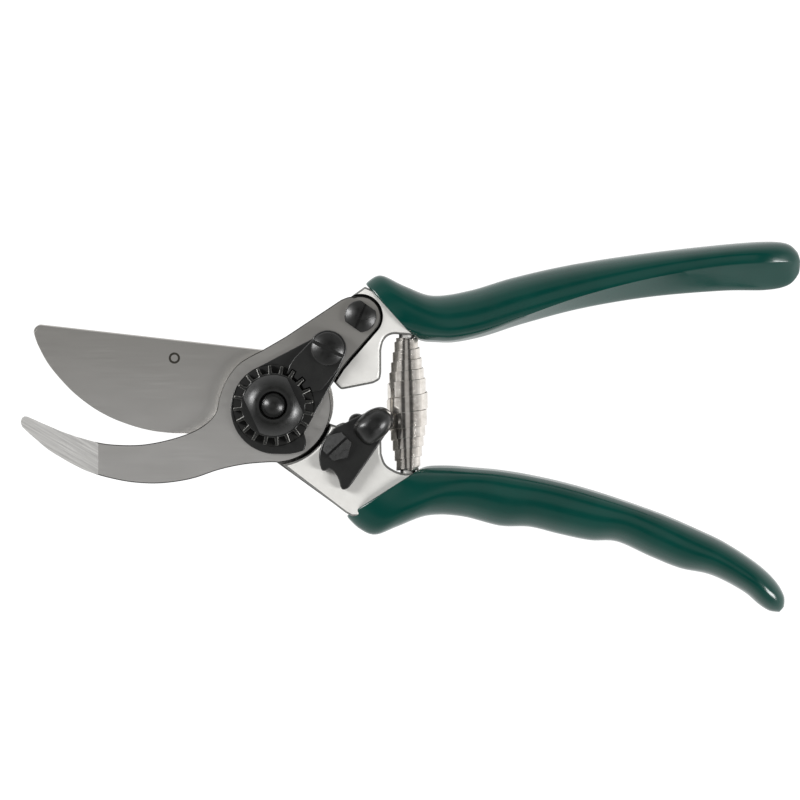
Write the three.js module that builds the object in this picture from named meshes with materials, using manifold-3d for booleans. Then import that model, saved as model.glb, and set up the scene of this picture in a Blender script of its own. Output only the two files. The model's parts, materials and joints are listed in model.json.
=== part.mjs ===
// Bypass pruning shears, built as separate pieces that come apart on a bench.
//
// Frame, in millimetres: the pivot bolt's axis is Z and the origin is on it, at the flat bottom of the
// bolt's head, on the surface that the shears lie on. +X runs toward the grips, +Y toward the upper
// handle (the one that carries the hook), and +Z toward the side with the adjusting nut.
// The shears are modelled open, at rest on the spring.

import * as THREE from 'three';
import { mergeVertices } from 'three/addons/utils/BufferGeometryUtils.js';
import Module from 'manifold-3d';

const wasm = await Module();
wasm.setup();

const degrees = THREE.MathUtils.degToRad;

// ---------------------------------------------------------------- driving dimensions

const GAP = 0.3; // air between a piece and the piece cut to fit it
const FACE_GAP = 0.2; // air between flat faces that are clamped together

const BLADE_BOTTOM = 6.8; // cutting blade, behind the shear plane
const BLADE_TOP = 9.5;
const HOOK_BOTTOM = 9.7; // counter-blade, in front of the shear plane
const HOOK_TOP = 12.9;
const HANDLE_BOTTOM = 3.6; // forged handles
const HANDLE_TOP = 12.9;
const EYE_TOP = 6.6; // the lower handle's thin eye, under the blade
const PLATE_BOTTOM = HOOK_TOP + FACE_GAP; // lock plate
const PLATE_TOP = PLATE_BOTTOM + 1;
const NUT_BOTTOM = PLATE_TOP + FACE_GAP;
const NUT_GEAR_TOP = NUT_BOTTOM + 1.9;
const NUT_TOP = NUT_GEAR_TOP + 2.6;
const SEGMENT_TOP = NUT_BOTTOM + 1.4;

const MID_Z = (HANDLE_BOTTOM + HANDLE_TOP) / 2; // middle plane of handles, grips and spring

const HUB_RADIUS = 15.4; // blade's hub round the pivot
const HUB_SHOULDER = new THREE.Vector2(3, 0.6); // the hub is fuller toward the grips
const HUB_SHOULDER_RADIUS = 13.5;
const HEEL_RADIUS = 15.8; // counter-blade's heel
const RECESS_RADIUS = 16.7; // lower handle's recess round the heel
const FLOOR_RADIUS = 17.4; // upper handle's floor stays outside this

const BOLT_HEAD_RADIUS = 8;
const BOLT_HEAD_TOP = 2.6;
const BOLT_SHANK_RADIUS = 4.5;
const BOLT_THREAD_RADIUS = 3.6;
const BOLT_WASHER_RADIUS = 8.6;
const BOLT_WASHER_THICKNESS = 0.6;
const SCREW_END = HANDLE_BOTTOM + 0.3; // ends of the segment's and the arm's screws
const BUSH_INNER_RADIUS = 4.7;
const BUSH_OUTER_RADIUS = 6;

const NUT_TEETH = 20;
const NUT_TIP_RADIUS = 11.1;
const NUT_ROOT_RADIUS = 8.9;
const NUT_BOSS_RADIUS = 8.4;
const NUT_FLAT = 6.6; // from the axis to each of the two spanner flats
const NUT_FLAT_ANGLE = degrees(24.8); // direction that the flats face
const TOOTH_ANGLE = degrees(95.4); // where one tooth of the nut stands

const SEGMENT_SCREW = new THREE.Vector2(15, 15.6);
const ARM_END = new THREE.Vector2(24, 24.6);
const ARM_END_RADIUS = 5.5;
const ARM_ROUND_START = degrees(108); // the arm's round end runs clockwise between these directions
const ARM_ROUND_END = degrees(-41);
const SCREW_SHANK_RADIUS = 2;
const SCREW_HOLE_RADIUS = SCREW_SHANK_RADIUS + GAP;

const BLADE_SCREW = new THREE.Vector2(8.5, -8.5);
const BLADE_PIN = new THREE.Vector2(-11, -4);
const BLADE_FASTENER_RADIUS = 1.5;
const BLADE_SCREW_HEAD_RADIUS = 2.8;

const CATCH_PIVOT = new THREE.Vector2(17.6, -11.3);
const CATCH_BOLT_RADIUS = 2.2;
const CATCH_BOLT_END = 0.8;
const CATCH_HEAD_RADIUS = 4.1;
const CATCH_NUT_RADIUS = 4;
const CATCH_WASHER_RADIUS = 3.6;
const CATCH_BOTTOM = 13.5;
const CATCH_TOP = 15.9;
const CATCH_DOME_TOP = 20;
const CATCH_LOBE = new THREE.Vector2(29.4, -4);
const CATCH_LOBE_RADIUS = 3.6;

const SPRING_UPPER_END = new THREE.Vector2(36.7, 18.3);
const SPRING_LOWER_END = new THREE.Vector2(37.1, -17.6);
const SPRING_END_RADIUS = 2.75;
const SPRING_MAX_RADIUS = 5.72;
const SPRING_STRIP_WIDTH = 4.4;
const SPRING_STRIP_THICKNESS = 0.22;
const SPRING_TURNS_PER_HALF = 6;
const SPRING_MIDDLE_TURNS = 0.85; // turns each side of the middle that the strip climbs faster
const SPRING_MIDDLE_PITCH = SPRING_STRIP_WIDTH + 0.2;
const SPRING_STEPS_PER_TURN = 12;
const PEG_RADIUS = 2.1; // forged peg inside each end of the spring
const PEG_LENGTH = 6;
const PEG_INTO = 1; // how far the peg's middle stands into the handle from the spring's end

const GRIP_WALL = 1.5; // plastic coat on the handle's core
const GRIP_FRONT_HALF_THICKNESS = 6.6;
const GRIP_HALF_THICKNESS = MID_Z;
const GRIP_END_HALF_THICKNESS = 7.2;
const GRIP_END_ROUND = 13; // the grip's thickness rounds off over this length

// ---------------------------------------------------------------- materials

const metal = (color, roughness) => new THREE.MeshStandardMaterial({ color, roughness, metalness: 1 });
const coat = (color, roughness) => new THREE.MeshStandardMaterial({ color, roughness, metalness: 0 });

const forgedAluminium = metal(0xe4e2dc, 0.35);
const brushedSteel = metal(0x8c8a85, 0.4);
const blackenedSteel = metal(0x262626, 0.45);
const polishedSteel = metal(0xc8c2ba, 0.2);
const bronze = metal(0x9a7440, 0.4);
const greenPlastic = coat(0x0c4a40, 0.25);
const blackRubber = coat(0x141414, 0.8);

// ---------------------------------------------------------------- helpers

const model = new THREE.Group();
const SNAP = 1e6; // vertices that a seam doubles are rounded to one millionth before they are moved

/** Turns pairs of numbers into points. */
function points(...pairs) {
  return pairs.map(([x, y]) => new THREE.Vector2(x, y));
}

/** Makes a closed three.js geometry into a solid that can be joined and cut. */
function solid(geometry) {
  const bare = geometry.clone();
  bare.deleteAttribute('normal');
  bare.deleteAttribute('uv');
  const merged = mergeVertices(bare, 1e-5);
  const mesh = new wasm.Mesh({
    numProp: 3,
    vertProperties: Float32Array.from(merged.attributes.position.array),
    triVerts: Uint32Array.from(merged.index.array),
  });
  return new wasm.Manifold(mesh);
}

/** Adds a solid to the model as a named mesh. */
function addPiece(name, body, material) {
  const mesh = body.getMesh();
  const geometry = new THREE.BufferGeometry();
  geometry.setAttribute('position', new THREE.BufferAttribute(mesh.vertProperties, 3));
  geometry.setIndex(new THREE.BufferAttribute(mesh.triVerts, 1));
  geometry.computeVertexNormals();
  const piece = new THREE.Mesh(geometry, material);
  piece.name = name;
  model.add(piece);
}

/** Extrudes an outline between two heights, its rims chamfered by bevel. */
function slab(shape, bottom, top, { bevel = 0, detail = 4 } = {}) {
  const geometry = new THREE.ExtrudeGeometry(shape, {
    depth: top - bottom - 2 * bevel,
    bevelEnabled: bevel > 0,
    bevelThickness: bevel,
    bevelSize: bevel,
    bevelOffset: -bevel,
    bevelSegments: 1,
    curveSegments: detail,
  });
  geometry.translate(0, 0, bottom + bevel);
  return solid(geometry);
}

/** Extrudes an outline swollen by clearance on every side, to cut room for the same outline's slab. */
function room(shape, bottom, top, clearance, detail = 4) {
  const geometry = new THREE.ExtrudeGeometry(shape, {
    depth: top - bottom,
    bevelEnabled: true,
    bevelThickness: clearance,
    bevelSize: clearance,
    bevelSegments: 1,
    curveSegments: detail,
  });
  geometry.translate(0, 0, bottom);
  return solid(geometry);
}

/** A round bar along Z. */
function bar(centre, radius, bottom, top, sides = 24) {
  const geometry = new THREE.CylinderGeometry(radius, radius, top - bottom, sides);
  geometry.rotateX(Math.PI / 2);
  geometry.translate(centre.x, centre.y, (bottom + top) / 2);
  return solid(geometry);
}

/** Turns a profile of [radius, height] pairs, which starts and ends on the axis, round a Z axis. */
function turned(centre, profile, sides = 24) {
  const geometry = new THREE.LatheGeometry(points(...profile), sides);
  geometry.rotateX(Math.PI / 2);
  geometry.translate(centre.x, centre.y, 0);
  return solid(geometry);
}

/** A block turned about Z, its middle at centre. */
function block(centre, length, width, bottom, top, angle) {
  const geometry = new THREE.BoxGeometry(length, width, top - bottom);
  geometry.rotateZ(angle);
  geometry.translate(centre.x, centre.y, (bottom + top) / 2);
  return solid(geometry);
}

/**
 * Moves a cylinder's vertices into a loft: place(t, x, z, corner) gives the point for station t, from
 * 0 to 1, at x, z on the unit circle. corner counts the sides from +z toward +x, and is -1 in the middle
 * of an end.
 */
function lofted(sides, steps, place) {
  const geometry = new THREE.CylinderGeometry(1, 1, 1, sides, steps);
  const position = geometry.attributes.position;
  const vertex = new THREE.Vector3();
  for (let i = 0; i < position.count; i += 1) {
    vertex.fromBufferAttribute(position, i).multiplyScalar(SNAP).round().divideScalar(SNAP);
    const turn = Math.atan2(vertex.x, vertex.z) / (2 * Math.PI) + 1;
    const atMiddle = Math.hypot(vertex.x, vertex.z) < 0.5;
    const corner = atMiddle ? -1 : Math.round(turn * sides) % sides;
    position.setXYZ(i, ...place(vertex.y + 0.5, vertex.x, vertex.z, corner));
  }
  return solid(geometry);
}

/** Joins several solids. */
function joined(...bodies) {
  return bodies.reduce((sum, body) => sum.add(body));
}

/** Cuts several solids out of the first. */
function cut(body, ...tools) {
  return tools.reduce((rest, tool) => rest.subtract(tool), body);
}

const PIVOT = new THREE.Vector2(0, 0);
const along = (angle, length) => new THREE.Vector2(Math.cos(angle), Math.sin(angle)).multiplyScalar(length);

// ---------------------------------------------------------------- grips and handle cores

/**
 * A handle's sections run between matching points of its two edge lines, front to back.
 * Each section is a rounded rectangle that turns into an oval a little way behind the front.
 */
function handleLoft(edges, { inset = 0, from = 0, to = 1, sides = 16, steps = 28 }) {
  const between = (t) => edges.top.getPoint(t).lerp(edges.bottom.getPoint(t), 0.5);
  return lofted(sides, steps, (station, x, z) => {
    const t = THREE.MathUtils.lerp(from, to, station);
    const top = edges.top.getPoint(t);
    const bottom = edges.bottom.getPoint(t);
    const across = top.clone().sub(bottom).normalize();
    const halfWidth = Math.max(top.distanceTo(bottom) / 2 - inset, 0.4);
    const toEnd = between(t).distanceTo(between(1));
    const halfThickness = Math.max(gripHalfThickness(t, toEnd) - inset, 0.4);
    const power = 2 / THREE.MathUtils.lerp(4.5, 2.3, THREE.MathUtils.smoothstep(t, 0, 0.2));
    const u = -Math.sign(x) * Math.abs(x) ** power * halfWidth;
    const v = Math.sign(z) * Math.abs(z) ** power * halfThickness;
    const place = between(t).addScaledVector(across, u);
    return [place.x, place.y, MID_Z + v];
  });
}

/** Half the thickness of a grip at t, from 0 at its front to 1 at its round end, which is toEnd away. */
function gripHalfThickness(t, toEnd) {
  const rise = THREE.MathUtils.smoothstep(t, 0, 0.3);
  const front = THREE.MathUtils.lerp(GRIP_FRONT_HALF_THICKNESS, GRIP_HALF_THICKNESS, rise);
  const fall = THREE.MathUtils.smoothstep(t, 0.55, 0.9);
  const slim = THREE.MathUtils.lerp(front, GRIP_END_HALF_THICKNESS, fall);
  const rounded = Math.max(1 - toEnd / GRIP_END_ROUND, 0);
  return slim * Math.sqrt(1 - 0.95 * rounded ** 2);
}

const upperEdges = {
  top: new THREE.SplineCurve(points(
    [25.3, 33.7], [29.5, 36], [36.3, 33], [44, 30.4], [54.2, 31.8], [66, 35.3], [82, 38.9],
    [102, 42], [122, 44.3], [135, 45.3], [141.6, 44.9], [144.6, 42.8], [145.6, 40.4],
  )),
  bottom: new THREE.SplineCurve(points(
    [37.9, 19.6], [40.7, 17.9], [44.6, 17.5], [50.1, 17.5], [58.4, 19.2], [69, 22.6], [85, 26.8],
    [104, 30], [124, 31.7], [136, 31.9], [142.2, 33.2], [145, 36], [145.7, 38.6],
  )),
};

const lowerEdges = {
  top: new THREE.SplineCurve(points(
    [40.6, -17.4], [42.5, -16.8], [45.5, -16.6], [50.1, -16.7], [55, -17.1], [61, -17.6],
    [68, -18.6], [76, -20.2], [84, -22.2], [92, -24.6], [100, -27.3], [108.2, -30.3],
    [116.5, -33.9], [124.8, -37.9], [133.1, -43.3], [138.4, -48.1], [141.1, -51.9], [141.6, -55],
  )),
  bottom: new THREE.SplineCurve(points(
    [20, -30.6], [23.5, -34], [28, -35.8], [34, -33.6], [42.5, -30.5], [52, -30.7],
    [62.5, -33.3], [70.8, -33.6], [79.1, -35.6], [87.4, -37.3], [95, -37.7], [104, -41.7],
    [112.3, -45], [121, -46.9], [129.5, -51.2], [134.3, -55.1], [137.8, -57.1], [140.7, -57.1],
  )),
};

const CORE_SPAN = { from: 0.05, to: 0.86 };
const CAVITY_SPAN = { from: 0.045, to: 0.87 };

/** The handle's core inside its grip. */
function core(edges) {
  return handleLoft(edges, { ...CORE_SPAN, inset: GRIP_WALL + GAP, sides: 12, steps: 18 });
}

/** The plastic grip, open at its front where the handle and its spring peg come out. */
function grip(edges, handleShape, pegRoom) {
  const outside = handleLoft(edges, {});
  const cavity = handleLoft(edges, { ...CAVITY_SPAN, inset: GRIP_WALL, sides: 12, steps: 18 });
  return cut(outside, cavity, room(handleShape, HANDLE_BOTTOM, HANDLE_TOP, GAP), pegRoom);
}

/** Forged peg that holds one end of the spring; grow swells it, to cut room for it. */
function springPeg(end, into, grow = 0) {
  const radius = PEG_RADIUS + grow;
  const geometry = new THREE.CylinderGeometry(radius, radius, PEG_LENGTH + 2 * grow, 16);
  geometry.translate(end.x, end.y + into, MID_Z);
  return solid(geometry);
}

// ---------------------------------------------------------------- upper handle

/** Outline of the upper handle's flat forging, from the arm's pocket round the lug. */
function upperHandleShape() {
  const shape = new THREE.Shape(points([21.8, 30.4], [25.2, 32.8], [28.5, 31.4], [36, 28], [42, 24.5]));
  shape.lineTo(41.5, 20.5);
  shape.lineTo(37.9, 19.4);
  shape.splineThru(points([35.4, 19.6], [33, 19.7], [31.3, 19], [30.2, 17.5], [29.7, 15.2]));
  shape.lineTo(29.7, 9.2);
  shape.splineThru(points([29.2, 7.2], [27.4, 6.1]));
  shape.lineTo(19.3, 4.5);
  shape.splineThru(points([18.3, 4.7], [16.5, 6.6]));
  shape.absarc(0, 0, FLOOR_RADIUS, Math.atan2(6.8, 16), Math.atan2(14.6, 9.5), false);
  shape.lineTo(12.5, 22.5);
  shape.lineTo(18.5, 28);
  return shape;
}

/** Room for the counter-blade's arm, open toward the pivot. */
function armPocketShape() {
  const clearance = 0.7;
  const shape = new THREE.Shape(points([17, 32.4], [21.9, 30.6]));
  const radius = ARM_END_RADIUS + clearance;
  shape.absarc(ARM_END.x, ARM_END.y, radius, ARM_ROUND_START, ARM_ROUND_END, true);
  shape.lineTo(21.8, 12.6);
  shape.lineTo(19.4, 9.7);
  shape.lineTo(16.8, 5.6);
  shape.lineTo(8, 4);
  shape.lineTo(2, 18);
  return shape;
}

function upperHandle() {
  const forging = slab(upperHandleShape(), HANDLE_BOTTOM, HANDLE_TOP, { bevel: 0.5 });
  const pocket = slab(armPocketShape(), HOOK_BOTTOM - GAP, HANDLE_TOP + 1, { detail: 8 });
  const hole = (centre) => bar(centre, SCREW_HOLE_RADIUS, 0, 20, 16);
  return cut(
    joined(forging, core(upperEdges), springPeg(SPRING_UPPER_END, PEG_INTO)),
    pocket,
    hole(SEGMENT_SCREW),
    hole(ARM_END),
  );
}

addPiece('upper_handle', upperHandle(), forgedAluminium);
addPiece('upper_grip', grip(
  upperEdges,
  upperHandleShape(),
  springPeg(SPRING_UPPER_END, PEG_INTO, GAP),
), greenPlastic);

// ---------------------------------------------------------------- lower handle

/** Outline of the lower handle's flat forging; drawInner draws its edge toward the pivot, top to bottom. */
function lowerHandleShape(drawInner) {
  const shape = new THREE.Shape();
  drawInner(shape);
  shape.lineTo(19.8, -29.6);
  shape.lineTo(21.6, -30.6);
  shape.lineTo(26, -30.6);
  shape.lineTo(38, -27.5);
  shape.lineTo(44, -24);
  shape.lineTo(43.5, -20);
  shape.lineTo(39.6, -18.6);
  shape.splineThru(points([36, -18.8], [33.2, -17.9], [30.9, -16.2], [29.8, -13.4]));
  shape.lineTo(29.7, -9);
  shape.splineThru(points([29.3, -7.4], [27.8, -6.4]));
  shape.lineTo(20.4, -4.9);
  shape.splineThru(points([18.9, -4.8], [17.2, -5.6]));
  return shape;
}

const RECESS_START = degrees(-18);

/** The recess round the counter-blade's heel. */
function drawRecess(shape) {
  shape.absarc(0, 0, RECESS_RADIUS, RECESS_START, degrees(-81.5), true);
}

/** The floor's edge, hidden in the eye. */
function drawUnderHeel(shape) {
  shape.absarc(0, 0, HUB_RADIUS - 3, RECESS_START, degrees(-98), true);
  shape.lineTo(-2, -13.8);
}

function lowerHandle() {
  const forging = slab(lowerHandleShape(drawRecess), HANDLE_BOTTOM, HANDLE_TOP, { bevel: 0.5, detail: 6 });
  const floor = slab(lowerHandleShape(drawUnderHeel), HANDLE_BOTTOM, EYE_TOP, { detail: 6 });
  const eye = bar(PIVOT, HUB_RADIUS - FACE_GAP, HANDLE_BOTTOM, EYE_TOP, 48);
  return cut(
    joined(forging, floor, eye, core(lowerEdges), springPeg(SPRING_LOWER_END, -PEG_INTO)),
    bar(PIVOT, BUSH_OUTER_RADIUS + GAP, 0, EYE_TOP + 1),
    bar(BLADE_SCREW, BLADE_FASTENER_RADIUS + GAP, 0, EYE_TOP + 1, 12),
    bar(BLADE_PIN, BLADE_FASTENER_RADIUS + GAP, 0, EYE_TOP + 1, 12),
    bar(CATCH_PIVOT, CATCH_BOLT_RADIUS + GAP, 0, HANDLE_TOP + 1, 16),
    bumperSocket(),
  );
}

const BUMPER = new THREE.Vector2(22.9, -5.6); // middle of the bumper's foot
const BUMPER_RADIUS = 2.5;
const BUMPER_SOCKET_DEPTH = 2.2;
const BUMPER_TILT = degrees(-11); // the handle's top edge falls away from the pivot

/** Turns a Y-up lathe profile onto the lower handle's top edge. */
function onTopEdge(geometry) {
  geometry.rotateZ(BUMPER_TILT);
  geometry.translate(BUMPER.x, BUMPER.y, MID_Z);
  return solid(geometry);
}

function bumperSocket() {
  const radius = BUMPER_RADIUS + GAP;
  return onTopEdge(new THREE.CylinderGeometry(radius, radius, 2 * BUMPER_SOCKET_DEPTH, 16));
}

/** Rubber buffer that the upper handle's lug meets when the shears close. */
function rubberBumper() {
  const foot = GAP - BUMPER_SOCKET_DEPTH;
  const profile = points(
    [0, foot], [BUMPER_RADIUS, foot], [BUMPER_RADIUS, 1.6], [2.1, 2.6], [1.2, 3.2], [0, 3.4],
  );
  return onTopEdge(new THREE.LatheGeometry(profile, 16));
}

addPiece('lower_handle', lowerHandle(), forgedAluminium);
addPiece('lower_grip', grip(
  lowerEdges,
  lowerHandleShape(drawRecess),
  springPeg(SPRING_LOWER_END, -PEG_INTO, GAP),
), greenPlastic);
addPiece('rubber_bumper', rubberBumper(), blackRubber);

// ---------------------------------------------------------------- blades

const HOOK_TIP = -69.9;

/** Outline of the counter-blade: the hook, the heel round the pivot and the arm up to the handle. */
function counterBladeShape() {
  const shape = new THREE.Shape(points([HOOK_TIP, -4.7]));
  shape.splineThru(points([-69.5, -3.5], [-68.6, -3], [-67.3, -3.4]));
  shape.splineThru(points(
    [-63.3, -5.2], [-56.4, -8], [-48.6, -10.2], [-42.7, -10.9], [-36, -10.8], [-29, -9.5],
    [-22.9, -7.5], [-18.6, -5], [-15.9, -1.8], [-14.9, 2.5], [-12.9, 7.3], [-9.2, 11.8], [-2.8, 15.4],
  ));
  shape.lineTo(3.4, 19);
  shape.lineTo(18.6, 29.1);
  shape.splineThru(points([20.7, 29.9], [22.3, 29.9]));
  shape.absarc(ARM_END.x, ARM_END.y, ARM_END_RADIUS, ARM_ROUND_START, ARM_ROUND_END, true);
  shape.lineTo(21.2, 13.1);
  shape.lineTo(18.8, 10.2);
  const heelStart = degrees(16);
  const heelEnd = degrees(-85.3);
  shape.absarc(0, 0, HEEL_RADIUS, heelStart, heelEnd, true);
  shape.splineThru(points(
    [-1.4, -15.7], [-8.3, -16.3], [-15.2, -17.8], [-22.1, -20.1], [-28.9, -21.3], [-35.3, -21.5],
    [-42.7, -20.6], [-51.8, -18], [-61, -13], [-65.6, -9.4], [-69.4, -6],
  ));
  return shape;
}

const HOOK_FACET_START = -48.4; // the hook thins from here to its tip
const HOOK_TIP_THICKNESS = 1.6;

/** Block that thins the hook's front face toward the tip. */
function hookFacetTool() {
  const length = HOOK_FACET_START - HOOK_TIP;
  const slope = Math.atan2(HOOK_TOP - HOOK_BOTTOM - HOOK_TIP_THICKNESS, length);
  const [reach, width, thickness] = [2 * length, 40, 4];
  const geometry = new THREE.BoxGeometry(reach, width, thickness);
  geometry.translate(-reach / 2, 0, thickness / 2);
  geometry.rotateY(-slope);
  geometry.translate(HOOK_FACET_START, -10, HOOK_TOP);
  return solid(geometry);
}

function counterBlade() {
  return cut(
    slab(counterBladeShape(), HOOK_BOTTOM, HOOK_TOP),
    hookFacetTool(),
    bar(PIVOT, BOLT_SHANK_RADIUS + GAP, HOOK_BOTTOM - 1, HOOK_TOP + 1),
    bar(SEGMENT_SCREW, SCREW_HOLE_RADIUS, HOOK_BOTTOM - 1, HOOK_TOP + 1, 16),
    bar(ARM_END, SCREW_HOLE_RADIUS, HOOK_BOTTOM - 1, HOOK_TOP + 1, 16),
  );
}

// The cutting blade runs between its straight back and its curved edge, from the tip to the hub.
const BLADE_BACK = points([-64.3, 22.4], [-2.8, 15.4]);
const BLADE_BACK_SHARES = [0, 0.04, 0.1, 0.19, 0.28, 0.37, 0.46, 0.55, 0.65, 0.76, 0.88, 1];
const BLADE_BACK_STATIONS = new THREE.SplineCurve(points(...BLADE_BACK_SHARES.map((share) => [share, 0])));
const CUTTING_EDGE = new THREE.SplineCurve(points(
  [-66.4, 20.1], [-65.2, 16.6], [-62, 10.9], [-56.5, 4.6], [-50.9, 0], [-45.4, -3.2],
  [-39.8, -5.4], [-34.2, -6.9], [-28.7, -7.6], [-23, -7.8], [-19, -7.9], [-14, -9.5],
));
const GRIND_WIDTH = 5.6; // the side toward the bench is ground away over this width
const EDGE_THICKNESS = 0.4;

/** The blade's flat, thick along its back and ground to an edge from behind. */
function bladeFlat() {
  return lofted(5, 28, (t, x, z, corner) => {
    const back = BLADE_BACK[0].clone().lerp(BLADE_BACK[1], BLADE_BACK_STATIONS.getPoint(t).x);
    const edge = CUTTING_EDGE.getPoint(t);
    const ground = Math.min(GRIND_WIDTH / back.distanceTo(edge), 0.5);
    const corners = [
      [back, BLADE_TOP], [edge, BLADE_TOP], [edge, BLADE_TOP - EDGE_THICKNESS],
      [edge.clone().lerp(back, ground), BLADE_BOTTOM], [back, BLADE_BOTTOM],
    ];
    const middle = [edge.clone().lerp(back, 0.6), (BLADE_BOTTOM + BLADE_TOP) / 2];
    const [place, height] = corner < 0 ? middle : corners[corner];
    return [place.x, place.y, height];
  });
}

function cuttingBlade() {
  const hub = joined(
    bar(PIVOT, HUB_RADIUS, BLADE_BOTTOM, BLADE_TOP, 48),
    bar(HUB_SHOULDER, HUB_SHOULDER_RADIUS, BLADE_BOTTOM, BLADE_TOP, 48),
  );
  return cut(
    joined(bladeFlat(), hub),
    bar(PIVOT, BUSH_OUTER_RADIUS + GAP, BLADE_BOTTOM - 1, BLADE_TOP + 1),
    bar(BLADE_SCREW, BLADE_FASTENER_RADIUS + GAP, BLADE_BOTTOM - 1, BLADE_TOP + 1, 12),
    bar(BLADE_PIN, BLADE_FASTENER_RADIUS + GAP, BLADE_BOTTOM - 1, BLADE_TOP + 1, 12),
  );
}

addPiece('counter_blade', counterBlade(), brushedSteel);
addPiece('cutting_blade', cuttingBlade(), brushedSteel);

// ---------------------------------------------------------------- pivot bolt, bush, washer, nut, lock

function pivotBolt() {
  return turned(PIVOT, [
    [0, 0], [BOLT_HEAD_RADIUS - 0.5, 0], [BOLT_HEAD_RADIUS, 0.5], [BOLT_HEAD_RADIUS, BOLT_HEAD_TOP],
    [BOLT_SHANK_RADIUS, BOLT_HEAD_TOP], [BOLT_SHANK_RADIUS, HOOK_TOP - 0.2],
    [BOLT_THREAD_RADIUS, HOOK_TOP - 0.2], [BOLT_THREAD_RADIUS, NUT_TOP - 1.5],
    [3.3, NUT_TOP - 1], [2.4, NUT_TOP - 0.7], [1.2, NUT_TOP - 0.2], [0, NUT_TOP],
  ]);
}

function ring(outer, inner, bottom, top, sides = 24) {
  return cut(bar(PIVOT, outer, bottom, top, sides), bar(PIVOT, inner, bottom - 1, top + 1, sides));
}

function boltWasher() {
  const bottom = BOLT_HEAD_TOP + FACE_GAP;
  return ring(BOLT_WASHER_RADIUS, BOLT_SHANK_RADIUS + GAP, bottom, bottom + BOLT_WASHER_THICKNESS);
}

/** The nut's ring of narrow teeth; grow swells it, to cut the segment that locks into it. */
function gearShape(grow) {
  const pitch = (2 * Math.PI) / NUT_TEETH;
  const rootHalf = 0.21 * pitch + grow / NUT_ROOT_RADIUS;
  const tipHalf = 0.13 * pitch + grow / NUT_TIP_RADIUS;
  const corners = [];
  for (let tooth = 0; tooth < NUT_TEETH; tooth += 1) {
    const middle = TOOTH_ANGLE + tooth * pitch;
    corners.push(along(middle - rootHalf, NUT_ROOT_RADIUS + grow));
    corners.push(along(middle - tipHalf, NUT_TIP_RADIUS + grow));
    corners.push(along(middle + tipHalf, NUT_TIP_RADIUS + grow));
    corners.push(along(middle + rootHalf, NUT_ROOT_RADIUS + grow));
  }
  return new THREE.Shape(corners);
}

function adjustingNut() {
  const gear = slab(gearShape(0), NUT_BOTTOM, NUT_GEAR_TOP);
  const boss = turned(PIVOT, [
    [0, NUT_BOTTOM], [NUT_BOSS_RADIUS, NUT_BOTTOM], [NUT_BOSS_RADIUS, NUT_GEAR_TOP + 0.4],
    [7.3, NUT_GEAR_TOP + 1.4], [6.2, NUT_GEAR_TOP + 2.1], [4.9, NUT_TOP], [0, NUT_TOP],
  ], 32);
  const reach = 10;
  const flats = [0, Math.PI].map((turn) => {
    const facing = NUT_FLAT_ANGLE + turn;
    return block(along(facing, NUT_FLAT + reach / 2), reach, 24, NUT_GEAR_TOP, NUT_TOP + 1, facing);
  });
  const hole = bar(PIVOT, BOLT_THREAD_RADIUS + GAP, NUT_BOTTOM - 1, NUT_TOP + 1);
  return cut(joined(gear, cut(boss, ...flats)), hole);
}

/** Teardrop plate under the nut, run out to the segment's screw. */
function lockPlateShape() {
  const shape = new THREE.Shape(points([10.7, 18.4]));
  shape.absarc(SEGMENT_SCREW.x, SEGMENT_SCREW.y, 5, degrees(140), degrees(-25), true);
  shape.lineTo(18.1, 9.7);
  shape.lineTo(8.4, -7.6);
  shape.splineThru(points([9, -10.2], [8.5, -12.3]));
  shape.splineThru(points([6.8, -12.9], [4.1, -13.4], [0.7, -13.4]));
  shape.absarc(0.7, -0.9, 12.5, degrees(-92), degrees(113), true);
  return shape;
}

function lockPlate() {
  return cut(
    slab(lockPlateShape(), PLATE_BOTTOM, PLATE_TOP, { detail: 12 }),
    bar(PIVOT, BOLT_THREAD_RADIUS + GAP, PLATE_BOTTOM - 1, PLATE_TOP + 1),
    bar(SEGMENT_SCREW, SCREW_HOLE_RADIUS, PLATE_BOTTOM - 1, PLATE_TOP + 1, 16),
  );
}

function toothedSegmentShape() {
  const shape = new THREE.Shape(points([10.9, 18.3]));
  shape.absarc(SEGMENT_SCREW.x, SEGMENT_SCREW.y, 5.1, degrees(145), degrees(-20), true);
  shape.lineTo(17.8, 9.8);
  shape.lineTo(13.4, 4.3);
  shape.absarc(0, 0, NUT_ROOT_RADIUS + 2 * GAP, Math.atan2(3.3, 9.3), Math.atan2(8.7, 3.6), false);
  shape.lineTo(4.5, 11.2);
  shape.lineTo(5.8, 13.1);
  return shape;
}

function toothedSegment() {
  return cut(
    slab(toothedSegmentShape(), NUT_BOTTOM, SEGMENT_TOP, { detail: 8 }),
    slab(gearShape(GAP), NUT_BOTTOM - 1, SEGMENT_TOP + 1),
    bar(SEGMENT_SCREW, SCREW_HOLE_RADIUS, NUT_BOTTOM - 1, SEGMENT_TOP + 1, 16),
  );
}

/** Slotted screw with a low domed head; flats is the share of the head left between its two flats. */
function slottedScrew(centre, size) {
  const { headRadius, headBottom, headTop, slotWidth, slotAngle, flats = 1, flatAngle = 0 } = size;
  const rise = headTop - headBottom;
  const head = turned(centre, [
    [0, headBottom], [headRadius, headBottom], [headRadius, headBottom + 0.45 * rise],
    [0.8 * headRadius, headBottom + 0.8 * rise], [0.5 * headRadius, headTop], [0, headTop],
  ]);
  const slot = block(centre, 3 * headRadius, slotWidth, headTop - 0.5 * rise, headTop + 1, slotAngle);
  const across = 2 * headRadius * flats;
  const between = block(centre, across, 3 * headRadius, headBottom - 1, headTop + 1, flatAngle);
  const shank = bar(centre, SCREW_SHANK_RADIUS, SCREW_END, headBottom + 0.1, 16);
  return cut(joined(head.intersect(between), shank), slot);
}

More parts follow.
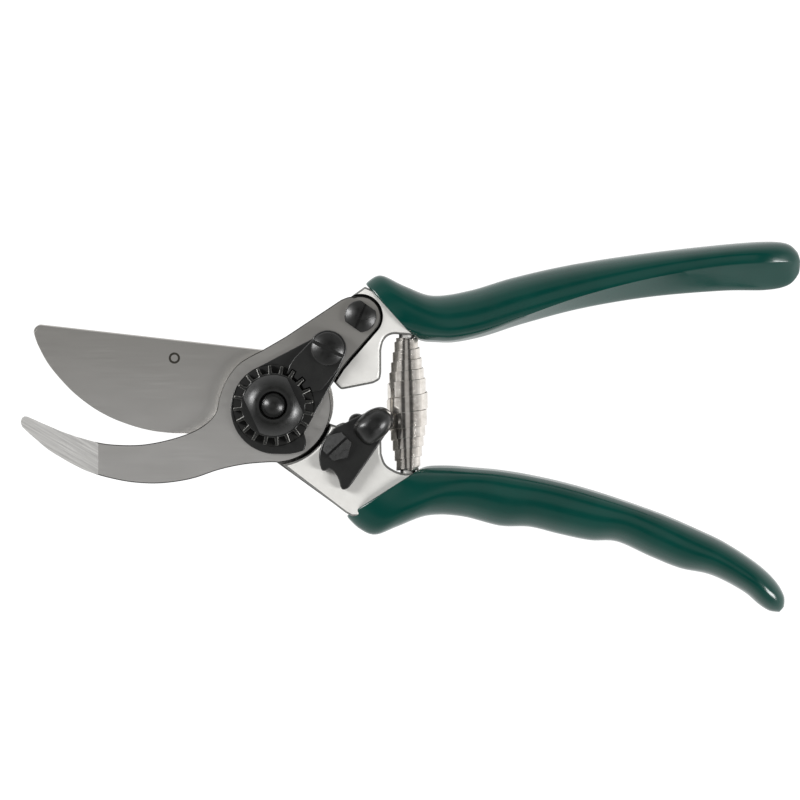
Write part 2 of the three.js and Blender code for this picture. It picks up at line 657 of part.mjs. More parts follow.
addPiece('pivot_bolt', pivotBolt(), blackenedSteel);
addPiece('bolt_washer', boltWasher(), polishedSteel);
addPiece('pivot_bush', ring(BUSH_OUTER_RADIUS, BUSH_INNER_RADIUS, HANDLE_BOTTOM + 0.1, BLADE_TOP), bronze);
addPiece('adjusting_nut', adjustingNut(), blackenedSteel);
addPiece('lock_plate', lockPlate(), blackenedSteel);
addPiece('toothed_segment', toothedSegment(), blackenedSteel);
addPiece('segment_screw', slottedScrew(SEGMENT_SCREW, {
  headRadius: 4.6,
  headBottom: SEGMENT_TOP + FACE_GAP,
  headTop: SEGMENT_TOP + 2.7,
  slotWidth: 1,
  slotAngle: degrees(-26.6),
}), blackenedSteel);
addPiece('arm_screw', slottedScrew(ARM_END, {
  headRadius: 4.4,
  headBottom: HOOK_TOP + FACE_GAP,
  headTop: HOOK_TOP + 2.7,
  slotWidth: 0.65,
  slotAngle: degrees(66),
  flats: 0.82,
  flatAngle: degrees(55),
}), blackenedSteel);

// ---------------------------------------------------------------- blade fasteners

/** Screw put in from the back, which holds the blade to the lower handle's eye. */
function bladeScrew() {
  const headBottom = 1.9;
  const headTop = HANDLE_BOTTOM - FACE_GAP;
  const body = joined(
    bar(BLADE_SCREW, BLADE_SCREW_HEAD_RADIUS, headBottom, headTop, 16),
    bar(BLADE_SCREW, BLADE_FASTENER_RADIUS, headTop - 0.1, BLADE_TOP - 0.2, 12),
  );
  return cut(body, block(BLADE_SCREW, 8, 0.8, headBottom - 1, headBottom + 0.7, Math.PI / 4));
}

addPiece('blade_screw', bladeScrew(), blackenedSteel);

const bladePin = bar(BLADE_PIN, BLADE_FASTENER_RADIUS, HANDLE_BOTTOM + 0.1, BLADE_TOP - 0.2, 12);
addPiece('blade_pin', bladePin, polishedSteel);

// ---------------------------------------------------------------- thumb catch

function catchShape() {
  const shape = new THREE.Shape();
  const start = degrees(117);
  const end = degrees(-20);
  shape.absarc(CATCH_LOBE.x, CATCH_LOBE.y, CATCH_LOBE_RADIUS, start, end, true);
  shape.lineTo(26.6, -14.5);
  shape.lineTo(22.4, -20.5);
  shape.splineThru(points([20.8, -22.6], [19.2, -23.2], [18.5, -22.4]));
  shape.splineThru(points([17.8, -20], [16.6, -18.2], [15.3, -17.4]));
  shape.splineThru(points([14.4, -17.9], [13.4, -17.9], [12.8, -16.4]));
  shape.splineThru(points([12.6, -13.4], [13.8, -9.7], [16.6, -6.4]));
  shape.lineTo(20.2, -4.6);
  return shape;
}

/** Outline of the raised pad at the catch's lobe, that the thumb pushes. */
function thumbPadShape() {
  const shape = new THREE.Shape();
  const start = degrees(122);
  const end = degrees(-58);
  shape.absarc(CATCH_LOBE.x, CATCH_LOBE.y, CATCH_LOBE_RADIUS - 0.3, start, end, true);
  shape.lineTo(25.6, -10);
  shape.lineTo(22.6, -6);
  return shape;
}

/** The pad, its top rounded far in. */
function thumbPad() {
  const round = 2.2;
  const bottom = CATCH_BOTTOM + 0.5 * round;
  const swollen = new THREE.ExtrudeGeometry(thumbPadShape(), {
    depth: CATCH_DOME_TOP - bottom - round,
    bevelEnabled: true,
    bevelThickness: round,
    bevelSize: round,
    bevelOffset: -round,
    bevelSegments: 3,
    curveSegments: 8,
  });
  swollen.translate(0, 0, bottom);
  const above = block(CATCH_LOBE, 60, 60, CATCH_BOTTOM + 1, CATCH_DOME_TOP + 1, 0);
  return solid(swollen).intersect(above);
}

function thumbCatch() {
  const lever = slab(catchShape(), CATCH_BOTTOM, CATCH_TOP, { bevel: 0.35, detail: 6 });
  return cut(
    joined(lever, thumbPad()),
    bar(CATCH_PIVOT, CATCH_BOLT_RADIUS + GAP, CATCH_BOTTOM - 1, CATCH_TOP + 1, 16),
  );
}

/** Slotted bolt with a low hexagonal head. */
function catchBolt() {
  const headBottom = CATCH_TOP + FACE_GAP;
  const headTop = CATCH_TOP + 2.4;
  const corners = [];
  for (let corner = 0; corner < 6; corner += 1) {
    corners.push(along(degrees(14 + 60 * corner), CATCH_HEAD_RADIUS).add(CATCH_PIVOT));
  }
  const head = slab(new THREE.Shape(corners), headBottom, headTop, { bevel: 0.15 });
  const shank = bar(CATCH_PIVOT, CATCH_BOLT_RADIUS, CATCH_BOLT_END, headBottom + 0.1, 16);
  const slot = block(CATCH_PIVOT, 12, 0.7, headTop - 0.9, headTop + 1, degrees(43));
  return cut(joined(head, shank), slot);
}

function catchNut() {
  return cut(
    bar(CATCH_PIVOT, CATCH_NUT_RADIUS, CATCH_BOLT_END + FACE_GAP, HANDLE_BOTTOM - FACE_GAP, 6),
    bar(CATCH_PIVOT, CATCH_BOLT_RADIUS + GAP, 0, HANDLE_BOTTOM, 16),
  );
}

function catchWasher() {
  const bottom = HANDLE_TOP + FACE_GAP;
  const top = CATCH_BOTTOM - FACE_GAP;
  return cut(
    bar(CATCH_PIVOT, CATCH_WASHER_RADIUS, bottom, top),
    bar(CATCH_PIVOT, CATCH_BOLT_RADIUS + GAP, bottom - 1, top + 1, 16),
  );
}

addPiece('thumb_catch', thumbCatch(), blackenedSteel);
addPiece('catch_washer', catchWasher(), polishedSteel);
addPiece('catch_bolt', catchBolt(), blackenedSteel);
addPiece('catch_nut', catchNut(), blackenedSteel);

// ---------------------------------------------------------------- spring

/** Flat strip wound as two volute cones, big ends together, from a long box that is bent round. */
function voluteSpring() {
  const turns = 2 * SPRING_TURNS_PER_HALF;
  const geometry = new THREE.BoxGeometry(turns, 1, 1, turns * SPRING_STEPS_PER_TURN, 1, 1);
  const axis = SPRING_LOWER_END.clone().sub(SPRING_UPPER_END);
  const halfLength = axis.length() / 2;
  const climb = halfLength - SPRING_STRIP_WIDTH / 2;
  const fast = SPRING_MIDDLE_TURNS * SPRING_MIDDLE_PITCH;
  const slowPitch = (climb - fast) / (SPRING_TURNS_PER_HALF - SPRING_MIDDLE_TURNS);
  const taper = (SPRING_MAX_RADIUS - SPRING_END_RADIUS) / SPRING_TURNS_PER_HALF;
  const position = geometry.attributes.position;
  for (let i = 0; i < position.count; i += 1) {
    const fromMiddle = position.getX(i);
    const away = Math.abs(fromMiddle);
    const quick = Math.min(away, SPRING_MIDDLE_TURNS);
    const climbed = Math.sign(fromMiddle) * (quick * SPRING_MIDDLE_PITCH + (away - quick) * slowPitch);
    const height = climbed + position.getY(i) * SPRING_STRIP_WIDTH;
    const radius = SPRING_MAX_RADIUS - taper * away + position.getZ(i) * SPRING_STRIP_THICKNESS;
    const angle = fromMiddle * 2 * Math.PI;
    position.setXYZ(i, radius * Math.sin(angle), height, radius * Math.cos(angle));
  }
  geometry.rotateZ(Math.atan2(-axis.y, -axis.x) - Math.PI / 2);
  const middle = SPRING_UPPER_END.clone().add(SPRING_LOWER_END).multiplyScalar(0.5);
  geometry.translate(middle.x, middle.y, MID_Z);
  return solid(geometry);
}

addPiece('volute_spring', voluteSpring(), polishedSteel);

export default model;
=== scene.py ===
"""Bypass pruning shears: the detailed pieces, their finishes and the studio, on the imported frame.

The frame is the CAD's: the pivot bolt's axis is Z, +X runs toward the grips, +Y toward the upper handle,
and the shears lie on the plane z = 0. Lengths in this file are in millimetres until a mesh is made.
"""

import json
import math

import bmesh
import bpy
import numpy as np
from mathutils import Matrix, Vector

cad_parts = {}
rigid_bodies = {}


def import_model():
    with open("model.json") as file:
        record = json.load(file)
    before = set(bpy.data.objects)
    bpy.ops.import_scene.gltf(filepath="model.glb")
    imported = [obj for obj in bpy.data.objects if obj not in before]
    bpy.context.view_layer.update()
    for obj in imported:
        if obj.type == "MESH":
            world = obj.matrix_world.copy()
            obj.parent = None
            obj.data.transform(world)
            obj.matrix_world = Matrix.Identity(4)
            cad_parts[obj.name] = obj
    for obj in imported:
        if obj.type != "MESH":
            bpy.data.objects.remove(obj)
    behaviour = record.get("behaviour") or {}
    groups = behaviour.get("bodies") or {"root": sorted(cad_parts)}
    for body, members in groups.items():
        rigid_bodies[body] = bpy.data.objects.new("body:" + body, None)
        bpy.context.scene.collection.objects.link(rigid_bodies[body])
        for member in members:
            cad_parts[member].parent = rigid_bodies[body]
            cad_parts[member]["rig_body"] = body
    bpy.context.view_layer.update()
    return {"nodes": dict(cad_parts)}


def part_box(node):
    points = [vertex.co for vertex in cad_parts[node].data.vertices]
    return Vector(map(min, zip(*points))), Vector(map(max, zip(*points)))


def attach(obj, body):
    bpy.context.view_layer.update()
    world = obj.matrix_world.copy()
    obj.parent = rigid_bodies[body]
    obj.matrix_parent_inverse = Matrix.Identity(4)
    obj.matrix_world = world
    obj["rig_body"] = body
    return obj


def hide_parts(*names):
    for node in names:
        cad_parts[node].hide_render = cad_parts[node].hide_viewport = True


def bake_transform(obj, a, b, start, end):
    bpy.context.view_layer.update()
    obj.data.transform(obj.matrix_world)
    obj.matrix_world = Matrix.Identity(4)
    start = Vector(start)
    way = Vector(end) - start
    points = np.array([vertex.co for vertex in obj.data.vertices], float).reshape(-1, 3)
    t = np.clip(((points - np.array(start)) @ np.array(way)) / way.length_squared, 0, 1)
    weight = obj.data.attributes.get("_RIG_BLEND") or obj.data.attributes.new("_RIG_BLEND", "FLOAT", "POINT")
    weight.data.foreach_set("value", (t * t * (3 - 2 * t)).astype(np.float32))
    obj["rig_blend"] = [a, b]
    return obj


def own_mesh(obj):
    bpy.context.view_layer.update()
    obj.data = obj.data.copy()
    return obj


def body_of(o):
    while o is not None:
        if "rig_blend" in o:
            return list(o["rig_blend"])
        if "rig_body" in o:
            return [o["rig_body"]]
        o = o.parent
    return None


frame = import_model()

MM = 0.001

# ------------------------ places taken from the frame


def heights(node):
    """Lowest and highest point of a CAD node."""
    low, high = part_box(node)
    return low.z / MM, high.z / MM


def axis_of(node):
    """Where a round CAD node's axis stands, seen from above."""
    low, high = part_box(node)
    return (low.xy + high.xy) / (2 * MM)


PIVOT = Vector((0, 0))
SEGMENT_SCREW = axis_of("segment_screw")
ARM_END = axis_of("arm_screw")
BLADE_SCREW = axis_of("blade_screw")
CATCH_PIVOT = axis_of("catch_washer")

HOOK_BOTTOM, HOOK_TOP = heights("counter_blade")
BLADE_BOTTOM, BLADE_TOP = heights("cutting_blade")
PLATE_BOTTOM, PLATE_TOP = heights("lock_plate")
SEGMENT_BOTTOM, SEGMENT_TOP = heights("toothed_segment")
NUT_BOTTOM, NUT_TOP = heights("adjusting_nut")
CATCH_BOTTOM, PAD_TOP = heights("thumb_catch")
GRIP_BOTTOM, GRIP_TOP = heights("upper_grip")

MID_Z = (GRIP_BOTTOM + GRIP_TOP) / 2
HANDLE_TOP = HOOK_TOP
HANDLE_BOTTOM = 2 * MID_Z - HANDLE_TOP
EYE_TOP = BLADE_BOTTOM - 0.2
NUT_GEAR_TOP = NUT_BOTTOM + 1.9
CATCH_TOP = CATCH_BOTTOM + 2.4

# Radii of holes, and a height above every piece.
SCREW_HOLE = 2.3
BLADE_SCREW_HOLE = 1.8
BUSH_HOLE = 6.3
SHOULDER_HOLE = 4.8
THREAD_HOLE = 3.9
CATCH_HOLE = 2.5
THROUGH = 20

# ------------------------ lines


def arc(centre, radius, start, end, step=4):
    """Points of an arc from one angle to another, in degrees."""
    count = max(2, math.ceil(abs(end - start) / step))
    angles = [math.radians(start + (end - start) * i / count) for i in range(count + 1)]
    return [Vector((centre[0] + radius * math.cos(a), centre[1] + radius * math.sin(a))) for a in angles]


def on_curve(through, t):
    """Point at t, from 0 to 1, on a smooth curve through evenly timed points."""
    place = min(max(t, 0), 1) * (len(through) - 1)
    i = min(int(place), len(through) - 2)
    w = place - i
    last = len(through) - 1
    a, b, c, d = (through[min(max(k, 0), last)] for k in range(i - 1, i + 3))
    leaving = (c - a) / 2
    arriving = (d - b) / 2
    cubic = 2 * b - 2 * c + leaving + arriving
    square = 3 * c - 3 * b - 2 * leaving - arriving
    return ((cubic * w + square) * w + leaving) * w + b


def curve(through, steps=8):
    """Points of a smooth curve, so many to each stretch between the points that it goes through."""
    through = [Vector(point) for point in through]
    count = steps * (len(through) - 1)
    return [on_curve(through, i / count) for i in range(count + 1)]


class Outline:
    """A closed outline, drawn one stretch after another."""

    def __init__(self, *corners):
        self.points = [Vector(corner) for corner in corners]

    def line(self, *corners):
        self.points += [Vector(corner) for corner in corners]
        return self

    def arc(self, centre, radius, start, end):
        self.points += arc(centre, radius, start, end)
        return self

    def smooth(self, *through):
        self.points += curve([self.points[-1], *through])[1:]
        return self

    def closed(self, apart=0.05):
        """The outline's points, counter-clockwise, with no two on top of each other."""
        kept = []
        for point in self.points:
            if not kept or (point - kept[-1]).length > apart:
                kept.append(point)
        if (kept[0] - kept[-1]).length < apart:
            kept.pop()
        area = sum(a.cross(b) for a, b in zip(kept, kept[1:] + kept[:1]))
        return kept if area > 0 else kept[::-1]


def inset(points, depth):
    """Moves a counter-clockwise outline inward.

    A point that has no room goes where its nearest neighbour went.
    """
    if depth == 0:
        return list(points)
    ring = np.array([list(point) for point in points])
    edge = np.roll(ring, -1, axis=0) - ring
    length = np.linalg.norm(edge, axis=1, keepdims=True)
    inward = np.column_stack((-edge[:, 1], edge[:, 0])) / length
    before = np.roll(inward, 1, axis=0)
    turn = 1 + (inward * before).sum(axis=1, keepdims=True)
    moved = ring + depth * (inward + before) / np.maximum(turn, 0.15)
    apart = moved[:, None, :] - ring[None, :, :]
    along = np.clip((apart * edge[None]).sum(axis=2) / (length[:, 0] ** 2)[None], 0, 1)
    distance = np.linalg.norm(apart - along[:, :, None] * edge[None], axis=2).min(axis=1)
    valid = np.flatnonzero(distance > depth * 0.999)
    if len(valid) == 0:
        return [Vector(point) for point in moved]
    count = len(points)
    steps = np.abs(np.arange(count)[:, None] - valid[None])
    nearest = valid[np.minimum(steps, count - steps).argmin(axis=1)]
    return [Vector(point) for point in moved[nearest]]


# ------------------------ meshes


def as_object(name, bm, doubles=1e-4):
    """Makes an object of a mesh drawn in millimetres."""
    bmesh.ops.remove_doubles(bm, verts=bm.verts, dist=doubles)
    bmesh.ops.recalc_face_normals(bm, faces=bm.faces)
    bmesh.ops.scale(bm, vec=(MM, MM, MM), verts=bm.verts)
    mesh = bpy.data.meshes.new(name)
    bm.to_mesh(mesh)
    bm.free()
    obj = bpy.data.objects.new(name, mesh)
    bpy.context.scene.collection.objects.link(obj)
    return obj


def skinned(name, rings):
    """A closed skin over rings of as many points each; the first and last ring are filled in."""
    bm = bmesh.new()
    rows = [[bm.verts.new(point) for point in ring] for ring in rings]
    for low, high in zip(rows, rows[1:]):
        for i in range(len(low)):
            j = (i + 1) % len(low)
            bm.faces.new((low[i], low[j], high[j], high[i]))
    bm.faces.new(rows[0][::-1])
    bm.faces.new(rows[-1])
    return as_object(name, bm)


def plate(name, points, bottom, top, rim=0.0, under_rim=None, fall=None, steps=5):
    """An outline's plate between two heights, its rims rounded.

    The top rim is as high as it is wide, unless fall says how high it is.
    """
    under_rim = rim if under_rim is None else under_rim
    fall = rim if fall is None else fall
    quarter = [math.pi / 2 * i / steps for i in range(steps + 1)]
    levels = [(under_rim * (1 - math.cos(a)), bottom + under_rim * (1 - math.sin(a))) for a in quarter[::-1]]
    levels += [(rim * (1 - math.cos(a)), top - fall * (1 - math.sin(a))) for a in quarter]
    rings = []
    for depth, height in levels:
        rings.append([(x, y, height) for x, y in inset(points, depth)])
    return skinned(name, rings)


def turned(name, centre, profile, sides=96):
    """A profile of (radius, height) pairs turned round a Z axis; it ends on the axis, or closes on itself."""
    bm = bmesh.new()
    line = [bm.verts.new((radius, 0, height)) for radius, height in profile]
    edges = [bm.edges.new(pair) for pair in zip(line, line[1:])]
    if profile[0][0] > 0:
        edges.append(bm.edges.new((line[-1], line[0])))
    bmesh.ops.spin(bm, geom=line + edges, cent=(0, 0, 0), axis=(0, 0, 1), angle=2 * math.pi, steps=sides)
    bmesh.ops.translate(bm, verts=bm.verts, vec=(centre[0], centre[1], 0))
    return as_object(name, bm)


def block(name, lengths, matrix):
    """A block about the origin, then put in place by a matrix."""
    bm = bmesh.new()
    bmesh.ops.create_cube(bm, size=1, matrix=matrix @ Matrix.Diagonal((*lengths, 1)))
    return as_object(name, bm)


def bar(name, centre, radius, bottom, top, sides=64):
    """A round bar along Z, as a cutter."""
    return plate(name, arc(centre, radius, 0, 360, 360 / sides)[:-1], bottom, top, steps=1)


def hole(centre, radius, top=THROUGH):
    return bar("hole", centre, radius, 0, top)


def combined(obj, operation, *tools):
    """Joins or cuts an object with others, which are used up."""
    for tool in tools:
        modifier = obj.modifiers.new("combine", "BOOLEAN")
        modifier.operation = operation
        modifier.object = tool
        modifier.solver = "EXACT"
    bake(obj)
    for tool in tools:
        bpy.data.objects.remove(tool, do_unlink=True)
    return obj


def cut(obj, *tools):
    return combined(obj, "DIFFERENCE", *tools)


def joined(obj, *others):
    return combined(obj, "UNION", *others)


def bake(obj):
    """Makes an object's modifiers part of its mesh."""
    evaluated = obj.evaluated_get(bpy.context.evaluated_depsgraph_get())
    mesh = bpy.data.meshes.new_from_object(evaluated)
    obj.modifiers.clear()
    obj.data = mesh


# ------------------------ finishes


class Finish:
    """A material whose detail comes from nodes that read the piece's own coordinates."""

    def __init__(self, name, **shader):
        self.name = name
        self.material = bpy.data.materials.new(name)
        self.material.use_nodes = True
        self.tree = self.material.node_tree
        self.shader = self.tree.nodes["Principled BSDF"]
        for socket, value in shader.items():
            self.shader.inputs[socket.replace("_", " ")].default_value = value

    def node(self, kind, **inputs):
        node = self.tree.nodes.new(kind)
        for socket, value in inputs.items():
            node.inputs[socket.replace("_", " ")].default_value = value
        return node

    def noise(self, size, turn=0, detail=3, roughness=0.55):
        """Noise with features of one size, or of sizes along X, Y and Z after a turn about Z in degrees."""
        sizes = size if isinstance(size, tuple) else (size, size, size)
        place = self.node("ShaderNodeTexCoord")
        mapping = self.node(
            "ShaderNodeMapping",
            Rotation=(0, 0, math.radians(turn)),
            Scale=[length * MM for length in sizes],
        )
        mapping.vector_type = "TEXTURE"
        noise = self.node("ShaderNodeTexNoise", Scale=1, Detail=detail, Roughness=roughness)
        self.tree.links.new(place.outputs["Object"], mapping.inputs["Vector"])
        self.tree.links.new(mapping.outputs["Vector"], noise.inputs["Vector"])
        return noise.outputs["Fac"]

    def ramp(self, factor, *stops):
        """Colours along a factor, from (place, colour) pairs."""
        node = self.node("ShaderNodeValToRGB")
        while len(node.color_ramp.elements) < len(stops):
            node.color_ramp.elements.new(0.5)
        for element, (place, colour) in zip(node.color_ramp.elements, stops):
            element.position = place
            element.color = (*colour, 1)
        self.tree.links.new(factor, node.inputs["Fac"])
        return node.outputs["Color"]

    def range(self, factor, low, high):
        """Stretches the middle of a noise to run between two values."""
        node = self.node("ShaderNodeMapRange")
        for socket, value in (("From Min", 0.3), ("From Max", 0.7), ("To Min", low), ("To Max", high)):
            node.inputs[socket].default_value = value
        self.tree.links.new(factor, node.inputs["Value"])
        return node.outputs["Result"]

    def fade(self, axis, start, end):
        """0 before start and 1 after end, which are places along an axis of the piece in millimetres."""
        place = self.node("ShaderNodeTexCoord")
        split = self.node("ShaderNodeSeparateXYZ")
        fade = self.node("ShaderNodeMapRange")
        fade.inputs["From Min"].default_value = start * MM
        fade.inputs["From Max"].default_value = end * MM
        self.tree.links.new(place.outputs["Object"], split.inputs["Vector"])
        self.tree.links.new(split.outputs[axis], fade.inputs["Value"])
        return fade.outputs["Result"]

    def product(self, first, *others):
        for other in others:
            node = self.node("ShaderNodeMath")
            node.operation = "MULTIPLY"
            self.tree.links.new(first, node.inputs[0])
            self.tree.links.new(other, node.inputs[1])
            first = node.outputs["Value"]
        return first

    def feed(self, socket, source):
        self.tree.links.new(source, self.shader.inputs[socket])
        return self

    def colour(self, factor, first, last, start=0.3, end=0.7):
        """Colours the piece from first to last, as the factor goes from start to end."""
        return self.feed("Base Color", self.ramp(factor, (start, first), (end, last)))

    def roughness(self, factor, low, high):
        return self.feed("Roughness", self.range(factor, low, high))

    def bump(self, *layers):
        """Bumps of (height, depth in millimetres), one over the other."""
        normal = None
        for height, depth in layers:
            node = self.node("ShaderNodeBump", Strength=1, Distance=depth * MM)
            self.tree.links.new(height, node.inputs["Height"])
            if normal is not None:
                self.tree.links.new(normal, node.inputs["Normal"])
            normal = node.outputs["Normal"]
        return self.feed("Normal", normal)


def green_plastic():
    """Dipped vinyl: glossy, a little uneven, its colour hardly varying."""
    finish = Finish("green_plastic", IOR=1.5)
    cloud = finish.noise(14, detail=2)
    finish.colour(cloud, (0.0006, 0.036, 0.028), (0.0012, 0.045, 0.035))
    finish.roughness(finish.noise(5, detail=4), 0.17, 0.26)
    return finish.bump((finish.noise(7, detail=2), 0.03), (finish.noise(0.5, detail=2), 0.003))


def forged_aluminium():
    """Tumbled forging: pale, satin, with a fine grain and faint clouds."""
    finish = Finish("forged_aluminium", Metallic=0.15)
    cloud = finish.noise(3, detail=4)
    finish.colour(cloud, (0.70, 0.69, 0.66), (0.75, 0.74, 0.71))
    finish.roughness(finish.noise(0.8, detail=4), 0.38, 0.5)
    return finish.bump((finish.noise(2.5), 0.03), (finish.noise(0.22, detail=4), 0.012))


def flank_painted_shade():
    """Painted shade for the steep sides of the forgings: dark grey, where the top is tumbled bright."""
    finish = Finish("flank_painted_shade", Metallic=0.3)
    grain = finish.noise(0.6, detail=5)
    finish.colour(grain, (0.13, 0.13, 0.125), (0.19, 0.19, 0.18))
    finish.roughness(grain, 0.45, 0.6)
    return finish.bump((grain, 0.015))


def blade_steel(name="blade_steel"):
    """Ground steel with fine lines along the blade; its colour is painted lighter toward -Y, a painted
    reflection.
    """
    finish = Finish(name, Metallic=1.0)
    lines = finish.noise((14, 0.16, 3), detail=4, roughness=0.65)
    cloud = finish.noise((16, 7, 7), detail=2)
    # Painted reflection: a lighter tone toward -Y, broken by faint clouds.
    reflection_tone = finish.product(finish.fade("Y", 26, -16), finish.range(cloud, 0.8, 1))
    finish.colour(reflection_tone, (0.49, 0.475, 0.445), (0.80, 0.785, 0.76), start=0, end=1)
    finish.roughness(lines, 0.3, 0.42)
    return finish.bump((lines, 0.004), (finish.noise(0.12, detail=3), 0.002))


def ground_tip():
    """The hook's ground facet: brighter than the rest, with coarser lines toward the tip."""
    finish = Finish("ground_tip", Metallic=1.0)
    lines = finish.noise((16, 0.35, 4), turn=-30, detail=5, roughness=0.7)
    finish.colour(lines, (0.52, 0.515, 0.50), (0.72, 0.71, 0.69))
    finish.roughness(lines, 0.42, 0.58)
    return finish.bump((lines, 0.02))


def blade_rim_painted_shade():
    """Painted shade along the counter-blade's edges: near-black metal on its sloped rim faces."""
    finish = Finish("blade_rim_painted_shade", Metallic=1.0)
    grain = finish.noise(0.5, detail=4)
    finish.colour(grain, (0.03, 0.03, 0.028), (0.07, 0.07, 0.065))
    finish.roughness(grain, 0.35, 0.5)
    return finish.bump((grain, 0.01))


def blackened_steel():
    """Black oxide with a dry sheen and a fine grain."""
    finish = Finish("blackened_steel", IOR=1.55)
    cloud = finish.noise(4, detail=4)
    finish.colour(cloud, (0.005, 0.0052, 0.005), (0.010, 0.0102, 0.0095))
    finish.roughness(finish.noise(1.2, detail=5), 0.26, 0.38)
    return finish.bump((finish.noise(0.25, detail=4), 0.006))


def tooth_rim_painted_highlight():
    """Painted highlight on the sloped rims of the nut's teeth: a lighter, metallic copy of the black."""
    finish = Finish("tooth_rim_painted_highlight", Metallic=1.0)
    highlight_noise = finish.noise(0.5, detail=4)
    finish.colour(highlight_noise, (0.05, 0.05, 0.048), (0.15, 0.148, 0.14), start=0.35, end=0.65)
    finish.roughness(highlight_noise, 0.3, 0.45)
    return finish.bump((highlight_noise, 0.01))


def bright_steel():
    """Polished spring strip, slightly warm, with lines along the strip."""
    finish = Finish("bright_steel", Metallic=0.96)
    cloud = finish.noise((2, 2, 5), detail=4)
    finish.colour(cloud, (0.62, 0.58, 0.53), (0.80, 0.765, 0.72))
    finish.roughness(finish.noise((2.5, 0.15, 2.5), detail=4), 0.08, 0.2)
    return finish.bump((finish.noise((3, 0.2, 3)), 0.003))


def bush_metal():
    """Sintered bronze, dull and porous."""
    finish = Finish("bush_metal", Metallic=1.0)
    grain = finish.noise(0.3, detail=5)
    finish.colour(grain, (0.36, 0.23, 0.10), (0.50, 0.33, 0.16))
    finish.roughness(grain, 0.35, 0.55)
    return finish.bump((grain, 0.02))


def black_rubber():
    """Moulded rubber, dark with a soft shine."""
    finish = Finish("black_rubber", IOR=1.5)
    cloud = finish.noise(1.5, detail=3)
    finish.colour(cloud, (0.006, 0.006, 0.006), (0.011, 0.011, 0.011))
    finish.roughness(finish.noise(0.4, detail=3), 0.25, 0.4)
    return finish.bump((finish.noise(0.3), 0.008))


def stamped_mark():
    """The floor of a stamped groove, painted near black."""
    finish = Finish("stamped_mark", Metallic=0.6)
    grain = finish.noise(0.3, detail=4)
    finish.colour(grain, (0.03, 0.028, 0.022), (0.06, 0.055, 0.045))
    finish.roughness(grain, 0.4, 0.6)
    return finish


def recess_painted_shade():
    """Painted shade for recesses: near black, fading to grey where they open to the outside below the nut."""
    finish = Finish("recess_painted_shade")
    grain = finish.noise(0.8, detail=4)
    # The painted shade lifts toward the opening below the nut.
    less_shade = finish.product(
        finish.fade("X", 10, 5), finish.fade("Y", -13, -14), finish.range(grain, 0.7, 1),
    )
    finish.colour(less_shade, (0.009, 0.009, 0.008), (0.3, 0.3, 0.29), start=0, end=1)
    finish.roughness(grain, 0.5, 0.75)
    return finish.bump((grain, 0.02))


FINISHES = {
    finish.name: finish.material
    for finish in (
        green_plastic(), forged_aluminium(), blade_steel(), blackened_steel(), bright_steel(), bush_metal(),
        black_rubber(), blade_steel("hook_steel"), ground_tip(), stamped_mark(), recess_painted_shade(),
        flank_painted_shade(), tooth_rim_painted_highlight(), blade_rim_painted_shade(),
    )
}

# ------------------------ pieces on the frame

SHARP = math.radians(38)


def smoothed(obj):
    """Shades an object smooth except at its sharp edges, with broad faces kept flat."""
    obj.data.polygons.foreach_set("use_smooth", [True] * len(obj.data.polygons))
    obj.data.set_sharp_from_angle(angle=SHARP)
    weighted = obj.modifiers.new("flat faces", "WEIGHTED_NORMAL")
    weighted.keep_sharp = True
    return obj


def dressed(obj, nodes, slot, finishes=()):
    """Gives a piece its finish and smooth shading, and hides the CAD nodes that it stands for."""
    for name in finishes or (slot,):
        obj.data.materials.append(FINISHES[name])
    smoothed(obj)
    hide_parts(*nodes)
    return obj


def riding(obj, node, slot, finishes=()):
    """Dresses a piece that stands for one CAD node and rides where it rides."""
    dressed(obj, (node,), slot, finishes)
    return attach(obj, body_of(frame["nodes"][node])[0])


def painted(obj, finish, where):
    """Gives one of a piece's finishes to the faces whose centre and normal pass a test."""
    for face in obj.data.polygons:
        if where(face.center / MM, face.normal):
            face.material_index = finish


def refined(node, slot, rim):
    """Keeps a CAD node, with a soft rim and its finish."""
    obj = frame["nodes"][node]
    obj.data.materials.clear()
    obj.data.materials.append(FINISHES[slot])
    obj.modifiers.new("one skin", "WELD").merge_threshold = 0.005 * MM
    bevel = obj.modifiers.new("rim", "BEVEL")
    bevel.width = rim * MM
    bevel.segments = 2
    bevel.limit_method = "ANGLE"
    bevel.angle_limit = SHARP
    weighted = obj.modifiers.new("flat faces", "WEIGHTED_NORMAL")
    weighted.keep_sharp = True


# ------------------------ grips

OUTER_STEPS = 24
INNER_STEPS = 14
LIP = 0.5
CORNER_WEIGHT = 2.4
FACET_FOOT = 0.16
TAIL_ROUND = 13
FRONT_HALF_THICKNESS = 6.6
TAIL_HALF_THICKNESS = 7.2
FRONT_SHARE = 0.02
GRIP_RINGS = 180

UPPER_OUTER = [Vector(p) for p in (
    (25.3, 33.7), (29.5, 36), (36.3, 33), (44, 30.4), (54.2, 31.8), (66, 35.3), (82, 38.9),
    (102, 42), (122, 44.3), (135, 45.3), (141.6, 44.9), (144.6, 42.8), (145.6, 40.4),
)]
UPPER_INNER = [Vector(p) for p in (
    (37.9, 19.6), (40.7, 17.9), (44.6, 17.5), (50.1, 17.5), (58.4, 19.2), (69, 22.6), (85, 26.8),
    (104, 30), (124, 31.7), (136, 31.9), (142.2, 33.2), (145, 36), (145.7, 38.6),
)]
LOWER_INNER = [Vector(p) for p in (
    (40.6, -17.4), (42.5, -16.8), (45.5, -16.6), (50.1, -16.7), (55, -17.1), (61, -17.6),
    (68, -18.6), (76, -20.2), (84, -22.2), (92, -24.6), (100, -27.3), (108.2, -30.3),
    (116.5, -33.9), (124.8, -37.9), (133.1, -43.3), (138.4, -48.1), (141.1, -52.5), (141.2, -55.6),
)]
